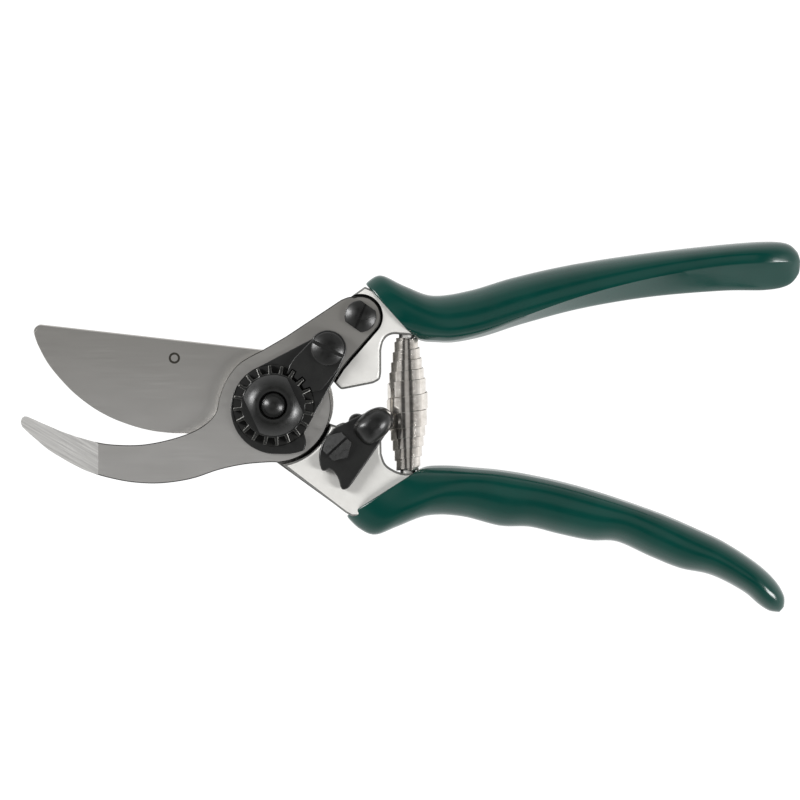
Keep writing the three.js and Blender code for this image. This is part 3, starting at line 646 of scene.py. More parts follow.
LOWER_OUTER = [Vector(p) for p in (
    (20, -30.6), (23.5, -34), (28, -35.8), (34, -33.6), (42.5, -30.5), (52, -30.7),
    (62.5, -33.3), (70.8, -33.6), (79.1, -35.6), (87.4, -37.3), (95, -37.7), (104, -41.7),
    (112.3, -45), (121, -46.9), (129.5, -51.2), (134.3, -55.1), (137.1, -56.8), (139.8, -57.2),
)]


def eased(value, start, end):
    """0 before start, 1 after end, and a smooth rise between."""
    share = min(max((value - start) / (end - start), 0), 1)
    return share * share * (3 - 2 * share)


def mixed(a, b, share):
    return a + (b - a) * share


def grip_half_thickness(t, to_end):
    """Half the thickness of a grip at t, from 0 at its front to 1 at its round end, which is to_end away."""
    front = mixed(FRONT_HALF_THICKNESS, (GRIP_TOP - GRIP_BOTTOM) / 2, eased(t, 0, 0.3))
    slim = mixed(front, TAIL_HALF_THICKNESS, eased(t, 0.55, 0.9))
    rounded = max(1 - to_end / TAIL_ROUND, 0)
    return slim * math.sqrt(1 - 0.97 * rounded ** 2)


def crowned(u, crown, outer_power, inner_power):
    """Height of a rounded section at u, which runs from -1 at the inner edge to 1 at the outer edge."""
    if u > crown:
        share, power = (u - crown) / (1 - crown), outer_power
    else:
        share, power = (crown - u) / (1 + crown), inner_power
    return max(1 - share ** power, 0) ** (1 / power)


def grip_section(crown, ridge, outer_power, inner_power):
    """Upper half of a grip's section as (u, v) pairs, from outer edge over the ridge to inner edge."""
    half = []
    for i in range(OUTER_STEPS + 1):
        u = ridge + (1 - ridge) * math.cos(math.pi / 2 * i / OUTER_STEPS)
        half.append((u, crowned(u, crown, outer_power, inner_power)))
    top = half[-1][1]
    for i in range(1, INNER_STEPS + 1):
        s = i / INNER_STEPS
        weights = (1 - s) ** 2, 2 * CORNER_WEIGHT * s * (1 - s), s ** 2
        total = sum(weights)
        u = (weights[0] * ridge - weights[1] - weights[2]) / total
        v = (weights[0] * top + weights[1] * FACET_FOOT) / total
        half.append((u, v))
    return half


def grip(name, node, outer_edge, inner_edge, shape_at):
    """A grip lofted between its two edge lines; shape_at(x) gives crown, ridge and the two powers."""
    rings = []
    end = (outer_edge[-1] + inner_edge[-1]) / 2
    lip = [
        (LIP * (1 - math.sin(a)), FRONT_SHARE * (1 - math.cos(a))) for a in np.linspace(0.1, math.pi / 2, 7)
    ]
    body = [
        (0, mixed(FRONT_SHARE, 1, math.sin(math.pi / 2 * i / GRIP_RINGS) ** 0.9))
        for i in range(1, GRIP_RINGS + 1)
    ]
    for depth, t in lip + body:
        outer = on_curve(outer_edge, t)
        inner = on_curve(inner_edge, t)
        middle = (outer + inner) / 2
        across = (outer - inner).normalized()
        half_width = (outer - inner).length / 2
        half_thickness = grip_half_thickness(t, (end - middle).length)
        upper = grip_section(*shape_at(middle.x))
        section = upper + [(u, -v) for u, v in upper[-2:0:-1]]
        ring = []
        for u, v in section:
            place = middle + across * u * (half_width - depth)
            ring.append((place.x, place.y, MID_Z + v * (half_thickness - depth)))
        rings.append(ring)
    return riding(skinned(name, rings), node, "green_plastic")


def upper_shape(x):
    """The upper grip has a facet along its inner side, which widens toward the tail."""
    crown = mixed(-0.25, 0.42, eased(x, 60, 132))
    ridge = mixed(-0.93, 0.08, eased(x, 40, 136))
    return crown, ridge, mixed(2.4, 2.1, eased(x, 30, 62)), mixed(2.8, 2, eased(x, 90, 130))


def lower_shape(x):
    """The lower grip is boxy along its inner side, and round at its tail."""
    tail = eased(x, 95, 135)
    crown = mixed(-0.25, 0, tail)
    ridge = mixed(-0.92, -0.9, tail)
    return crown, ridge, mixed(2.4, 2.1, eased(x, 28, 60)), mixed(2.8, 2.2, tail)


grip("upper_grip_sleeve", "upper_grip", UPPER_OUTER, UPPER_INNER, upper_shape)
grip("lower_grip_sleeve", "lower_grip", LOWER_OUTER, LOWER_INNER, lower_shape)

# ------------------------ forged handles

FORGED = HANDLE_BOTTOM, HANDLE_TOP
FORGING_RIM = 1.2
RECESS_RADIUS = 16.5
# Centre of a small spot of painted shade on the lower forging's rim beside the catch.
RIM_BY_CATCH = Vector((13.4, -9.3))
EYE_RADIUS = 15.2
FLANK_STEEPNESS = 0.78
# Finishes of the forgings: the pale top, painted shade for recesses and painted shade for the steep sides.
FORGED_FINISHES = "forged_aluminium", "recess_painted_shade", "flank_painted_shade"
SPRING_UPPER_END = Vector((36.7, 18.3))
SPRING_LOWER_END = Vector((37.1, -17.6))
PEG_RADIUS = 2.1


def upper_handle_outline():
    shape = Outline((21.8, 30.4), (25.2, 32.8), (28.5, 31.4), (36, 28))
    shape.line((42, 24.5), (41.5, 20.5), (37.9, 19.4))
    shape.smooth((35.4, 19.6), (33, 19.7), (31.3, 19), (30.2, 17.5), (29.7, 15.2))
    shape.line((29.7, 9.2)).smooth((29.2, 7.2), (27.4, 6.1))
    shape.line((19.3, 4.5)).smooth((18.3, 4.7), (16.5, 6.6))
    shape.arc(PIVOT, 17.4, 23, 57)
    return shape.line((12.5, 22.5), (18.5, 28)).closed()


def arm_pocket_outline():
    shape = Outline((17, 32.4), (21.9, 30.6)).arc(ARM_END, 6.2, 108, -41)
    return shape.line((21.8, 12.6), (19.4, 9.7), (16.8, 5.6), (8, 4), (2, 18)).closed()


def lower_handle_outline(*inner_edge):
    shape = Outline(*inner_edge)
    shape.line((19.8, -29.6), (21.6, -30.6), (26, -30.6), (38, -27.5))
    shape.line((44, -24), (43.5, -20), (39.6, -18.6))
    shape.smooth((36, -18.8), (33.2, -17.9), (30.9, -16.2), (29.8, -13.4))
    shape.line((29.7, -9)).smooth((29.3, -7.4), (27.8, -6.4))
    return shape.line((20.4, -4.9)).smooth((18.9, -4.8), (17.2, -5.6)).closed()


def inside(points, place):
    """Whether a place is inside an outline."""
    crossings = 0
    for a, b in zip(points, points[1:] + points[:1]):
        if (a.y > place.y) != (b.y > place.y):
            crossings += place.x < a.x + (place.y - a.y) * (b.x - a.x) / (b.y - a.y)
    return crossings % 2 == 1


def paint_flank_shade(body):
    """Paints shade on a forging's steep side faces, giving them the dark grey finish."""
    painted(body, 2, lambda centre, normal: abs(normal.z) < FLANK_STEEPNESS)


def paint_recess_shade(body, points, bottom):
    """Paints shade on the walls and floor of a recess that is cut into a forging's top."""

    def gets_painted_shade(centre, normal):
        before = centre + normal * 0.1
        return bottom < before.z < HANDLE_TOP - 0.02 and inside(points, before.xy)

    painted(body, 1, gets_painted_shade)


def spring_peg(end, into):
    """Round peg that stands in an end of the spring, its middle so far into the handle."""
    peg = turned("peg", (0, 0), [(0, -3), (PEG_RADIUS, -3), (PEG_RADIUS, 2.5), (1.6, 3), (0, 3)], 48)
    peg.data.transform(Matrix.Rotation(math.copysign(math.pi / 2, into), 4, "X"))
    peg.data.transform(Matrix.Translation(Vector((end.x, end.y + into, MID_Z)) * MM))
    return peg


def upper_handle():
    """Forging with a pocket for the counter-blade's arm, a lug and a peg for the spring."""
    body = plate("upper_forging", upper_handle_outline(), *FORGED, FORGING_RIM, steps=8)
    joined(body, spring_peg(SPRING_UPPER_END, 1))
    cut(
        body,
        plate("pocket", arm_pocket_outline(), HOOK_BOTTOM - 0.3, HANDLE_TOP + 1, steps=1),
        hole(SEGMENT_SCREW, SCREW_HOLE),
        hole(ARM_END, SCREW_HOLE),
    )
    riding(body, "upper_handle", "forged_aluminium", FORGED_FINISHES)
    paint_flank_shade(body)
    # Painted shade in the pocket round the counter-blade's arm.
    paint_recess_shade(body, arm_pocket_outline(), HOOK_BOTTOM - 0.5)


def lower_handle():
    """Forging with a recess round the counter-blade's heel, an eye under the blade and a peg."""
    outline = lower_handle_outline(*arc(PIVOT, RECESS_RADIUS, -18, -81.5))
    body = plate("lower_forging", outline, *FORGED, FORGING_RIM, steps=8)
    under = *arc(PIVOT, 12.4, -18, -98), Vector((-2, -13.8))
    floor = plate("floor", lower_handle_outline(*under), HANDLE_BOTTOM + 0.01, EYE_TOP, steps=1)
    eye = bar("eye", PIVOT, EYE_RADIUS, HANDLE_BOTTOM + 0.02, EYE_TOP - 0.01, 120)
    joined(body, floor, eye, spring_peg(SPRING_LOWER_END, -1))
    cut(
        body,
        hole(PIVOT, BUSH_HOLE, EYE_TOP + 1),
        hole(BLADE_SCREW, BLADE_SCREW_HOLE, EYE_TOP + 1),
        hole(CATCH_PIVOT, CATCH_HOLE, HANDLE_TOP + 1),
    )
    riding(body, "lower_handle", "forged_aluminium", FORGED_FINISHES)
    paint_flank_shade(body)
    # Painted shade in the recess round the heel, and in a small spot on the rim beside the catch.
    paint_recess_shade(body, arc(PIVOT, RECESS_RADIUS + 0.1, 0, 356), EYE_TOP - 0.1)
    paint_recess_shade(body, arc(RIM_BY_CATCH, 1.6, 0, 350, 10), EYE_TOP - 0.1)


upper_handle()
lower_handle()

# ------------------------ blades

HOOK_TIP = -69.9
HOOK_FACET_START = -48.4
HOOK_TIP_THICKNESS = 1.6


def counter_blade_outline():
    shape = Outline((HOOK_TIP, -4.7)).smooth((-69.5, -3.5), (-68.6, -3), (-67.3, -3.4))
    shape.smooth(
        (-63.3, -5.2), (-56.4, -8), (-48.6, -10.2), (-42.7, -10.9), (-36, -10.8), (-29, -9.5),
        (-22.9, -7.5), (-18.6, -5), (-15.9, -1.8), (-14.9, 2.5), (-12.9, 7.3), (-9.2, 11.8), (-2.8, 15.4),
    )
    shape.line((3.4, 19), (18.6, 29.1)).smooth((20.7, 29.9), (22.3, 29.9)).arc(ARM_END, 5.5, 108, -41)
    shape.line((21.2, 13.1), (18.8, 10.2)).arc(PIVOT, 15.8, 16, -85.3)
    return shape.smooth(
        (-1.4, -15.7), (-8.3, -16.3), (-15.2, -17.8), (-22.1, -20.1), (-28.9, -21.3), (-35.3, -21.5),
        (-42.7, -20.6), (-51.8, -18), (-61, -13), (-65.6, -9.4), (-69.4, -6),
    ).closed()


def counter_blade():
    """Hook, heel and arm in one plate, with a sloping facet ground at the hook's tip."""
    outline = counter_blade_outline()
    body = plate(
        "counter_blade_ground", outline, HOOK_BOTTOM, HOOK_TOP, rim=0.3, under_rim=0.1, fall=0.12, steps=8,
    )
    length = HOOK_FACET_START - HOOK_TIP
    slope = math.atan2(HOOK_TOP - HOOK_BOTTOM - HOOK_TIP_THICKNESS, length)
    start = Matrix.Translation((HOOK_FACET_START, -10, HOOK_TOP))
    tool = start @ Matrix.Rotation(-slope, 4, "Y") @ Matrix.Translation((-length, 0, 2))
    cut(
        body,
        block("facet", (2 * length, 40, 4), tool),
        hole(PIVOT, SHOULDER_HOLE),
        hole(SEGMENT_SCREW, SCREW_HOLE),
        hole(ARM_END, SCREW_HOLE),
    )
    riding(body, "counter_blade", "blade_steel", ("hook_steel", "ground_tip", "blade_rim_painted_shade"))
    # Painted shade: every sloped rim face gets the near-black metal; the facet at the tip gets its own
    # finish.
    painted(body, 2, lambda centre, normal: 0.05 < normal.z < 0.995)
    painted(body, 1, lambda centre, normal: normal.z > 0.9 and centre.x < HOOK_FACET_START)
    for edge in body.data.edges:
        ends = [body.data.vertices[i].co / MM for i in edge.vertices]
        edge.use_edge_sharp |= all(abs(p.x - HOOK_FACET_START) < 0.01 and p.z > HOOK_TOP - 0.5 for p in ends)


BLADE_BACK = Vector((-64.3, 22.4)), Vector((-2.8, 15.4))
BLADE_BACK_TIMES = [Vector((t, 0)) for t in (0, 0.04, 0.1, 0.19, 0.28, 0.37, 0.46, 0.55, 0.65, 0.76, 0.88, 1)]
CUTTING_EDGE = [Vector(p) for p in (
    (-66.4, 20.1), (-65.2, 16.6), (-62, 10.9), (-56.5, 4.6), (-50.9, 0), (-45.4, -3.2),
    (-39.8, -5.4), (-34.2, -6.9), (-28.7, -7.6), (-23, -7.8), (-19, -7.9), (-14, -9.5),
)]
BLADE_RINGS = 96
GRIND_WIDTH = 5.6
EDGE_THICKNESS = 0.4
TIP_CORNER = Vector((-67.1, 22.7))
TIP_WEIGHT = 0.4
MARK = Vector((-27.5, 13.1))
MARK_DEPTH = 0.12


def blade_section(back, edge):
    """The blade's section between its back and its edge, which is ground from below."""
    across = (back - edge).length
    ground = edge.lerp(back, min(GRIND_WIDTH / across, 0.5))
    soft_edge = edge.lerp(back, min(0.12 / across, 0.2))
    soft_back = back.lerp(edge, min(0.3 / across, 0.2))
    return [
        (*back, BLADE_BOTTOM), (*back, BLADE_TOP - 0.25), (*soft_back, BLADE_TOP), (*soft_edge, BLADE_TOP),
        (*edge, BLADE_TOP - 0.08), (*edge, BLADE_TOP - EDGE_THICKNESS), (*ground, BLADE_BOTTOM),
    ]


def on_tip(share):
    """A point on the tip's round, from the blade's back to its edge."""
    weights = (1 - share) ** 2, 2 * TIP_WEIGHT * share * (1 - share), share ** 2
    ends = BLADE_BACK[0] * weights[0] + CUTTING_EDGE[0] * weights[2]
    return (ends + TIP_CORNER * weights[1]) / sum(weights)


def blade_tip():
    """Sections across the tip's round, from its outermost point to where the blade's own lines start."""
    return [blade_section(on_tip(0.5 - half), on_tip(0.5 + half)) for half in np.linspace(0.03, 0.5, 9)[:-1]]


def cutting_blade():
    """Curved blade, ground below its edge, with a hub round the pivot and a stamped round mark."""
    rings = blade_tip()
    for i in range(BLADE_RINGS + 1):
        t = i / BLADE_RINGS
        back = BLADE_BACK[0].lerp(BLADE_BACK[1], on_curve(BLADE_BACK_TIMES, t).x)
        rings.append(blade_section(back, on_curve(CUTTING_EDGE, t)))
    body = skinned("cutting_blade_ground", rings)
    joined(
        body,
        plate("hub", arc(PIVOT, 15.4, 0, 357, 3), BLADE_BOTTOM + 0.01, BLADE_TOP - 0.01, rim=0.15),
        plate("hub", arc((3, 0.6), 13.5, 0, 357, 3), BLADE_BOTTOM + 0.02, BLADE_TOP - 0.02, rim=0.15),
    )
    bottom, above = BLADE_TOP - MARK_DEPTH, BLADE_TOP + 1
    groove = turned("groove", MARK, [(0.97, bottom), (1.55, bottom), (1.6, above), (0.92, above)], 48)
    cut(body, groove, hole(PIVOT, BUSH_HOLE), hole(BLADE_SCREW, BLADE_SCREW_HOLE))
    riding(body, "cutting_blade", "blade_steel", ("blade_steel", "stamped_mark"))

    def in_mark(centre, normal):
        depth = BLADE_TOP - centre.z
        return (centre.xy - MARK).length < 1.7 and MARK_DEPTH / 3 < depth < 2 * MARK_DEPTH

    painted(body, 1, in_mark)


counter_blade()
cutting_blade()

# ------------------------ pivot bolt, nut and lock

NUT_TEETH = 20
NUT_TIP_RADIUS = 11.1
NUT_ROOT_RADIUS = 8.9
NUT_FLAT = 6.6
NUT_FLAT_ANGLE = 24.8
TOOTH_ANGLE = 95.4
NUT_CROWN_RADIUS = 4.1
NUT_BOSS_RADIUS = 8.4
GROOVE_DEPTH = 0.25


def away(angle, distance, centre=PIVOT):
    """A point so far from a centre, at an angle in degrees."""
    radians = math.radians(angle)
    return centre + Vector((math.cos(radians), math.sin(radians))) * distance


def turned_block(centre, angle, length, width, bottom, top):
    """A block turned about Z, as a cutter."""
    place = Matrix.Translation((*centre, (bottom + top) / 2)) @ Matrix.Rotation(math.radians(angle), 4, "Z")
    return block("block", (length, width, top - bottom), place)


def pivot_bolt():
    """Bolt with a flat head below, a shoulder that the blades turn on, and a domed end in the nut."""
    top = NUT_TOP - 0.35
    shoulder_top = HOOK_TOP - 0.2
    rounded = [(7.5 + 0.5 * math.sin(a), 0.5 - 0.5 * math.cos(a)) for a in np.linspace(0, math.pi / 2, 6)]
    dome = [(radius, NUT_TOP - 0.12 * radius ** 2) for radius in np.linspace(2.9, 0, 14)]
    profile = [
        (0, 0), *rounded, (8, 2.6), (4.5, 2.6), (4.5, shoulder_top), (3.6, shoulder_top), (3.6, top - 1.2),
        (3.3, top - 0.7), *dome,
    ]
    riding(turned("pivot_bolt_turned", PIVOT, profile), "pivot_bolt", "blackened_steel")


def gear_points(grow):
    """The nut's ring of narrow teeth; grow swells it."""
    pitch = 360 / NUT_TEETH
    root = 0.21 * pitch + math.degrees(grow / NUT_ROOT_RADIUS)
    tip = 0.13 * pitch + math.degrees(grow / NUT_TIP_RADIUS)
    points = []
    for tooth in range(NUT_TEETH):
        middle = TOOTH_ANGLE + tooth * pitch
        points.append(away(middle - root, NUT_ROOT_RADIUS + grow))
        points.append(away(middle - tip, NUT_TIP_RADIUS + grow))
        points.append(away(middle + tip, NUT_TIP_RADIUS + grow))
        points.append(away(middle + root, NUT_ROOT_RADIUS + grow))
    return points


def adjusting_nut():
    """Nut with a ring of teeth below a domed boss that has two spanner flats."""
    body = plate("adjusting_nut_toothed", gear_points(0), NUT_BOTTOM, NUT_GEAR_TOP, rim=0.42, under_rim=0)
    fall = (NUT_TOP - NUT_GEAR_TOP - 0.4) / (NUT_BOSS_RADIUS - NUT_CROWN_RADIUS) ** 2
    dome = [
        (radius, NUT_TOP - fall * (radius - NUT_CROWN_RADIUS) ** 2)
        for radius in np.linspace(NUT_BOSS_RADIUS, NUT_CROWN_RADIUS, 16)
    ]
    foot = NUT_BOTTOM + 0.1
    boss = turned("boss", PIVOT, [(0, foot), (NUT_BOSS_RADIUS, foot), *dome, (0, NUT_TOP)])
    flats = []
    for turn in (0, 180):
        middle = away(NUT_FLAT_ANGLE + turn, NUT_FLAT + 5)
        flats.append(turned_block(middle, NUT_FLAT_ANGLE, 10, 24, NUT_GEAR_TOP + 0.02, NUT_TOP + 1))
    cut(boss, *flats)
    joined(body, boss)
    cut(body, bar("hole", PIVOT, 3.95, 0, 30))
    riding(body, "adjusting_nut", "blackened_steel", ("blackened_steel", "tooth_rim_painted_highlight"))
    # Painted highlight: the sloped rims of the teeth get the lighter metallic copy of the black.
    painted(body, 1, lambda centre, normal: centre.xy.length > NUT_ROOT_RADIUS and 0.2 < normal.z < 0.97)


def lock_plate():
    """Pressed plate under the nut and the segment, with a groove below the nut's teeth."""
    shape = Outline((10.7, 18.4)).arc(SEGMENT_SCREW, 5, 140, -25)
    shape.line((18.1, 9.7), (8.4, -7.6)).smooth((9, -10.2), (8.5, -12.3))
    shape.smooth((6.8, -12.9), (4.1, -13.4), (0.7, -13.4)).arc((0.7, -0.9), 12.5, -92, -247)
    body = plate("lock_plate_pressed", shape.closed(), PLATE_BOTTOM, PLATE_TOP, rim=0.3)
    bottom, above = PLATE_TOP - GROOVE_DEPTH, PLATE_TOP + 1
    groove = turned("groove", PIVOT, [(8, bottom), (11.3, bottom), (11.5, above), (8, above)])
    cut(body, groove, hole(PIVOT, THREAD_HOLE), hole(SEGMENT_SCREW, SCREW_HOLE))
    riding(body, "lock_plate", "blackened_steel", ("blackened_steel", "recess_painted_shade"))

    # Painted shade: the groove under the nut's teeth, seen between them, gets the near-black recess finish.
    def in_groove(centre, normal):
        return 7.9 < centre.xy.length < 11.5 and 0.02 < PLATE_TOP - centre.z < 0.3

    painted(body, 1, in_groove)


def toothed_segment():
    """Plate whose end fits the nut's teeth, so that the nut can't turn."""
    shape = Outline((10.9, 18.3)).arc(SEGMENT_SCREW, 5.1, 145, -20)
    shape.line((17.8, 9.8), (13.4, 4.3)).arc(PIVOT, 9.5, 19.5, 67.5)
    shape.line((4.5, 11.2), (5.8, 13.1))
    body = plate("toothed_segment_pressed", shape.closed(), SEGMENT_BOTTOM, SEGMENT_TOP, rim=0.3)
    cut(
        body,
        plate("teeth", gear_points(0.3), SEGMENT_BOTTOM - 1, SEGMENT_TOP + 1, steps=1),
        hole(SEGMENT_SCREW, SCREW_HOLE),
    )
    riding(body, "toothed_segment", "blackened_steel")


pivot_bolt()
adjusting_nut()
lock_plate()
toothed_segment()

# ------------------------ screws

SCREW_SHANK_RADIUS = 2
FLAT_SHARE = 0.82


def domed_screw(name, node, under, radius, slot_angle, slot_width=1.0, flats=None):
    """A slotted screw with a domed head, as high as its CAD node, whose head sits on under.

    It may have two flats across its head, which face the angle flats and its opposite.
    """
    centre = axis_of(node)
    end, top = heights(node)
    head = under + 0.2
    wall = 0.5 * (top - head)
    dome = [
        (radius * share, head + wall + (top - head - wall) * (1 - share ** 2))
        for share in np.linspace(0.97, 0, 14)
    ]
    shank = SCREW_SHANK_RADIUS
    profile = [
        (0, end), (shank - 0.3, end), (shank, end + 0.3), (shank, head), (radius, head),
        (radius, head + wall - 0.1), *dome,
    ]
    body = turned(name, centre, profile)
    tools = [turned_block(centre, slot_angle, 3 * radius, slot_width, top - 0.5 * (top - head), top + 1)]
    for turn in (0, 180) if flats is not None else ():
        middle = away(flats + turn, radius * FLAT_SHARE + 5, centre)
        tools.append(turned_block(middle, flats, 10, 4 * radius, head - 0.1, top + 1))
    cut(body, *tools)
    return riding(body, node, "blackened_steel")


domed_screw("segment_screw_slotted", "segment_screw", SEGMENT_TOP, 4.6, -26.6)
domed_screw("arm_screw_slotted", "arm_screw", HOOK_TOP, 4.4, 66, slot_width=0.65, flats=55)


def catch_bolt():
    """Slotted bolt with a low hexagonal head that slopes down from its slot to both sides."""
    end, top = heights("catch_bolt")
    head = CATCH_TOP + 0.2
    slot_angle = 43
    body = plate("catch_bolt_slotted", arc(CATCH_PIVOT, 4.1, 14, 314, 60), head, top, rim=0.15, under_rim=0.1)
    joined(body, bar("shank", CATCH_PIVOT, 2.2, end, head + 0.5))
    place = Matrix.Translation((*CATCH_PIVOT, top)) @ Matrix.Rotation(math.radians(slot_angle), 4, "Z")
    slopes = [
        block("slope", (12, 12, 4), place @ Matrix.Rotation(tilt, 4, "X") @ Matrix.Translation((0, 0, 2)))
        for tilt in (math.radians(20), math.radians(-20))
    ]
    cut(body, *slopes, turned_block(CATCH_PIVOT, slot_angle, 12, 0.7, top - 0.9, top + 1))
    riding(body, "catch_bolt", "blackened_steel")


def blade_screw():
    """Screw that holds the blade, its slotted head below the lower handle's eye."""
    bottom, top = heights("blade_screw")
    head_top = bottom + 1.5
    head = [(0, bottom), (2.3, bottom), (2.8, bottom + 0.5), (2.8, head_top)]
    profile = [*head, (1.5, head_top), (1.5, top), (0, top)]
    body = turned("blade_screw_slotted", BLADE_SCREW, profile, 64)
    cut(body, turned_block(BLADE_SCREW, 45, 8, 0.8, bottom - 1, bottom + 0.7))
    riding(body, "blade_screw", "blackened_steel")


def bolt_washer():
    bottom, top = heights("bolt_washer")
    profile = [(4.8, bottom), (8.5, bottom), (8.6, bottom + 0.1), (8.6, top - 0.1), (8.5, top), (4.8, top)]
    riding(turned("bolt_washer_turned", PIVOT, profile), "bolt_washer", "bright_steel")


catch_bolt()
blade_screw()
bolt_washer()
refined("pivot_bush", "bush_metal", 0.1)
refined("blade_pin", "bright_steel", 0.1)
refined("catch_washer", "bright_steel", 0.05)
refined("catch_nut", "blackened_steel", 0.3)

# ------------------------ thumb catch

CATCH_LOBE = Vector((29.4, -4))
CATCH_LOBE_RADIUS = 3.6
PAD_CENTRE = Vector((27.7, -5.4))
PAD_ANGLE = 41
PAD_HALF_LENGTH = 5.6
PAD_HALF_WIDTH = 4.15


def catch_outline():
    shape = Outline().arc(CATCH_LOBE, CATCH_LOBE_RADIUS, 117, -20)
    shape.line((26.6, -14.5), (22.4, -20.5)).smooth((20.8, -22.6), (19.2, -23.2), (18.5, -22.4))
    shape.smooth((17.8, -20), (16.6, -18.2), (15.3, -17.4))
    shape.smooth((14.4, -17.9), (13.4, -17.9), (12.8, -16.4))
    shape.smooth((12.6, -13.4), (13.8, -9.7), (16.6, -6.4))
    return shape.line((20.2, -4.6)).closed()


def thumb_pad():
    """Domed pad, long and with a full end, that the thumb pushes."""
    rings = []
    turn = Matrix.Rotation(math.radians(PAD_ANGLE), 2)
    base = CATCH_TOP - 0.6
    for rise in np.linspace(0, math.pi / 2 * 0.995, 22):
        reach = math.cos(rise) ** 0.85
        height = base + (PAD_TOP - base) * math.sin(rise) ** 0.9
        ring = []
        for side in np.linspace(0, 2 * math.pi, 73)[:-1]:
            c, s = math.cos(side), math.sin(side)
            squared = Vector((
                math.copysign(abs(c) ** (1 if c > 0 else 0.6), c) * PAD_HALF_LENGTH * reach,
                math.copysign(abs(s) ** (0.9 if c > 0 else 0.6), s) * PAD_HALF_WIDTH * reach,
            ))
            place = PAD_CENTRE + turn @ squared
            ring.append((place.x, place.y, height))
        rings.append(ring)
    return skinned("pad", rings)


def thumb_catch():
    body = plate("thumb_catch_moulded", catch_outline(), CATCH_BOTTOM, CATCH_TOP, rim=0.5, under_rim=0.25)
    joined(body, thumb_pad())
    cut(body, hole(CATCH_PIVOT, CATCH_HOLE, CATCH_TOP + 1))
    riding(body, "thumb_catch", "blackened_steel")


thumb_catch()

# ------------------------ bumper

BUMPER_FOOT = Vector((22.9, -5.6))
BUMPER_RADIUS = 2.5
BUMPER_TILT = math.radians(-11)


def rubber_bumper():
    """Dome that stops the upper handle when the shears close."""
    dome = [(BUMPER_RADIUS * math.cos(a), 1.1 + 2.3 * math.sin(a)) for a in np.linspace(0, math.pi / 2, 16)]
    body = turned("bumper_dome", (0, 0), [(0, -1.9), (BUMPER_RADIUS, -1.9), *dome[:-1], (0, dome[-1][1])], 64)
    body.data.transform(Matrix.Rotation(-math.pi / 2, 4, "X"))
    body.data.transform(Matrix.Rotation(BUMPER_TILT, 4, "Z"))
    body.data.transform(Matrix.Translation(Vector((*BUMPER_FOOT, MID_Z)) * MM))
    riding(body, "rubber_bumper", "black_rubber")
    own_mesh(body)


rubber_bumper()

# ------------------------ spring

SPRING_END_RADIUS = 2.75
SPRING_MAX_RADIUS = 5.72
STRIP_WIDTH = 4.4
STRIP_THICKNESS = 0.22
TURNS_PER_HALF = 6
MIDDLE_TURNS = 0.85
LEVEL_TURNS = 0.8
SEATED = 0.4
STEPS_PER_TURN = 48


def volute_spring():
    """Flat strip wound as two volute cones, big ends together."""
    axis = SPRING_LOWER_END - SPRING_UPPER_END
    middle = (SPRING_LOWER_END + SPRING_UPPER_END) / 2
    climb = (axis.length - STRIP_WIDTH) / 2 + SEATED
    quick_pitch = STRIP_WIDTH + 0.2
    slow_pitch = (climb - MIDDLE_TURNS * quick_pitch) / (TURNS_PER_HALF - MIDDLE_TURNS - LEVEL_TURNS)
    taper = (SPRING_MAX_RADIUS - SPRING_END_RADIUS) / TURNS_PER_HALF
    edge = 0.07
    section = [
        (-0.5, -STRIP_WIDTH / 2 + edge), (-0.2, -STRIP_WIDTH / 2), (0.2, -STRIP_WIDTH / 2),
        (0.5, -STRIP_WIDTH / 2 + edge), (0.5, STRIP_WIDTH / 2 - edge), (0.2, STRIP_WIDTH / 2),
        (-0.2, STRIP_WIDTH / 2), (-0.5, STRIP_WIDTH / 2 - edge),
    ]
    turn = math.atan2(-axis.y, -axis.x) - math.pi / 2
    place = Matrix.Translation((*middle, MID_Z)) @ Matrix.Rotation(turn, 4, "Z")
    count = 2 * TURNS_PER_HALF * STEPS_PER_TURN
    rings = []
    for i in range(count + 1):
        from_middle = (i / count * 2 - 1) * TURNS_PER_HALF
        wound = abs(from_middle)
        quick = min(wound, MIDDLE_TURNS)
        slow = min(wound, TURNS_PER_HALF - LEVEL_TURNS) - quick
        climbed = math.copysign(quick * quick_pitch + slow * slow_pitch, from_middle)
        radius = SPRING_MAX_RADIUS - taper * wound
        angle = from_middle * 2 * math.pi
        ring = []
        for out, up in section:
            r = radius + out * STRIP_THICKNESS
            ring.append(place @ Vector((r * math.sin(angle), climbed + up, r * math.cos(angle))))
        rings.append(ring)
    body = dressed(skinned("volute_spring_strip", rings), ("volute_spring",), "bright_steel")
    ends = [Vector((*end, MID_Z)) * MM for end in (SPRING_UPPER_END, SPRING_LOWER_END)]
    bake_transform(body, "upper", "lower", start=ends[0], end=ends[1])


volute_spring()

# ------------------------ studio


def emission(name, colour, strength):
    material = bpy.data.materials.new(name)
    material.use_nodes = True
    shader = material.node_tree.nodes["Principled BSDF"]
    shader.inputs["Base Color"].default_value = (*colour, 1)
    shader.inputs["Roughness"].default_value = 0.9
    shader.inputs["Emission Color"].default_value = (1, 1, 1, 1)
    shader.inputs["Emission Strength"].default_value = strength
    return material


def floor():
    bm = bmesh.new()
    bmesh.ops.create_grid(bm, x_segments=1, y_segments=1, size=2500)
    ground = as_object("floor", bm)
    ground.data.materials.append(emission("white_floor", (0.1, 0.1, 0.1), 1.0))


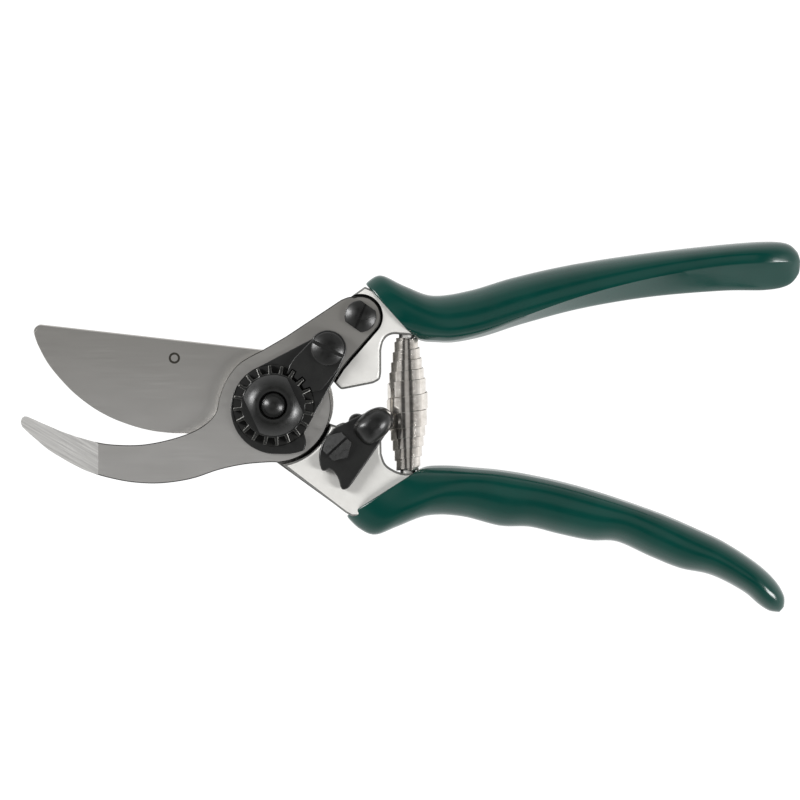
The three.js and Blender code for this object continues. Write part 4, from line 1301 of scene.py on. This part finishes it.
def surroundings():
    """A soft studio, as light by height: a grey overhead, a dark ring round it, and a bright horizon."""
    world = bpy.data.worlds.new("studio")
    world.use_nodes = True
    nodes, links = world.node_tree.nodes, world.node_tree.links
    direction = nodes.new("ShaderNodeTexCoord")
    split = nodes.new("ShaderNodeSeparateXYZ")
    ramp = nodes.new("ShaderNodeValToRGB")
    stops = (
        (0, 1), (0.26, 0.8), (0.5, 0.42), (0.8, 0.3), (0.845, 0.02), (0.965, 0.02), (0.985, 0.44), (1, 0.44),
    )
    while len(ramp.color_ramp.elements) < len(stops):
        ramp.color_ramp.elements.new(0.5)
    for element, (place, value) in zip(ramp.color_ramp.elements, stops):
        element.position = place
        element.color = (value, value, value, 1)
    links.new(direction.outputs["Generated"], split.inputs["Vector"])
    links.new(split.outputs["Z"], ramp.inputs["Fac"])
    links.new(ramp.outputs["Color"], nodes["Background"].inputs["Color"])
    bpy.context.scene.world = world


def softbox(name, azimuth, elevation, distance, size, power):
    """An area light that faces the shears' middle, from a direction in degrees and a distance in metres."""
    light = bpy.data.lights.new(name, "AREA")
    light.shape = "RECTANGLE"
    light.size, light.size_y = size
    light.energy = power
    obj = bpy.data.objects.new(name, light)
    a, e = math.radians(azimuth), math.radians(elevation)
    away_from = Vector((math.cos(a) * math.cos(e), math.sin(a) * math.cos(e), math.sin(e)))
    obj.location = Vector((0.035, 0, 0)) + away_from * distance
    obj.rotation_euler = away_from.to_track_quat("Z", "Y").to_euler()
    bpy.context.scene.collection.objects.link(obj)


SOFTBOX_ELEVATION = 36
GRIP_HEIGHT = 0.01
VIEW_CENTRE = Vector((0.0349, 0.0015))
VIEW_WIDTH = 0.2212
VIEW_HEIGHT = 1.6


def camera():
    """Looks straight down from far away, so that the shears' outline is hardly distorted."""
    data = bpy.data.cameras.new("camera")
    data.sensor_width = 36
    data.lens = data.sensor_width * (VIEW_HEIGHT - GRIP_HEIGHT) / VIEW_WIDTH
    data.clip_start = 0.05
    data.clip_end = 20
    obj = bpy.data.objects.new("camera", data)
    obj.location = (*VIEW_CENTRE, VIEW_HEIGHT)
    bpy.context.scene.collection.objects.link(obj)
    bpy.context.scene.camera = obj


floor()
surroundings()
for side, azimuth in (("left_box", 160), ("right_box", -20)):
    softbox(side, azimuth, SOFTBOX_ELEVATION, 1.2, (0.35, 0.5), 11)
camera()
bpy.context.scene.view_settings.view_transform = "Standard"
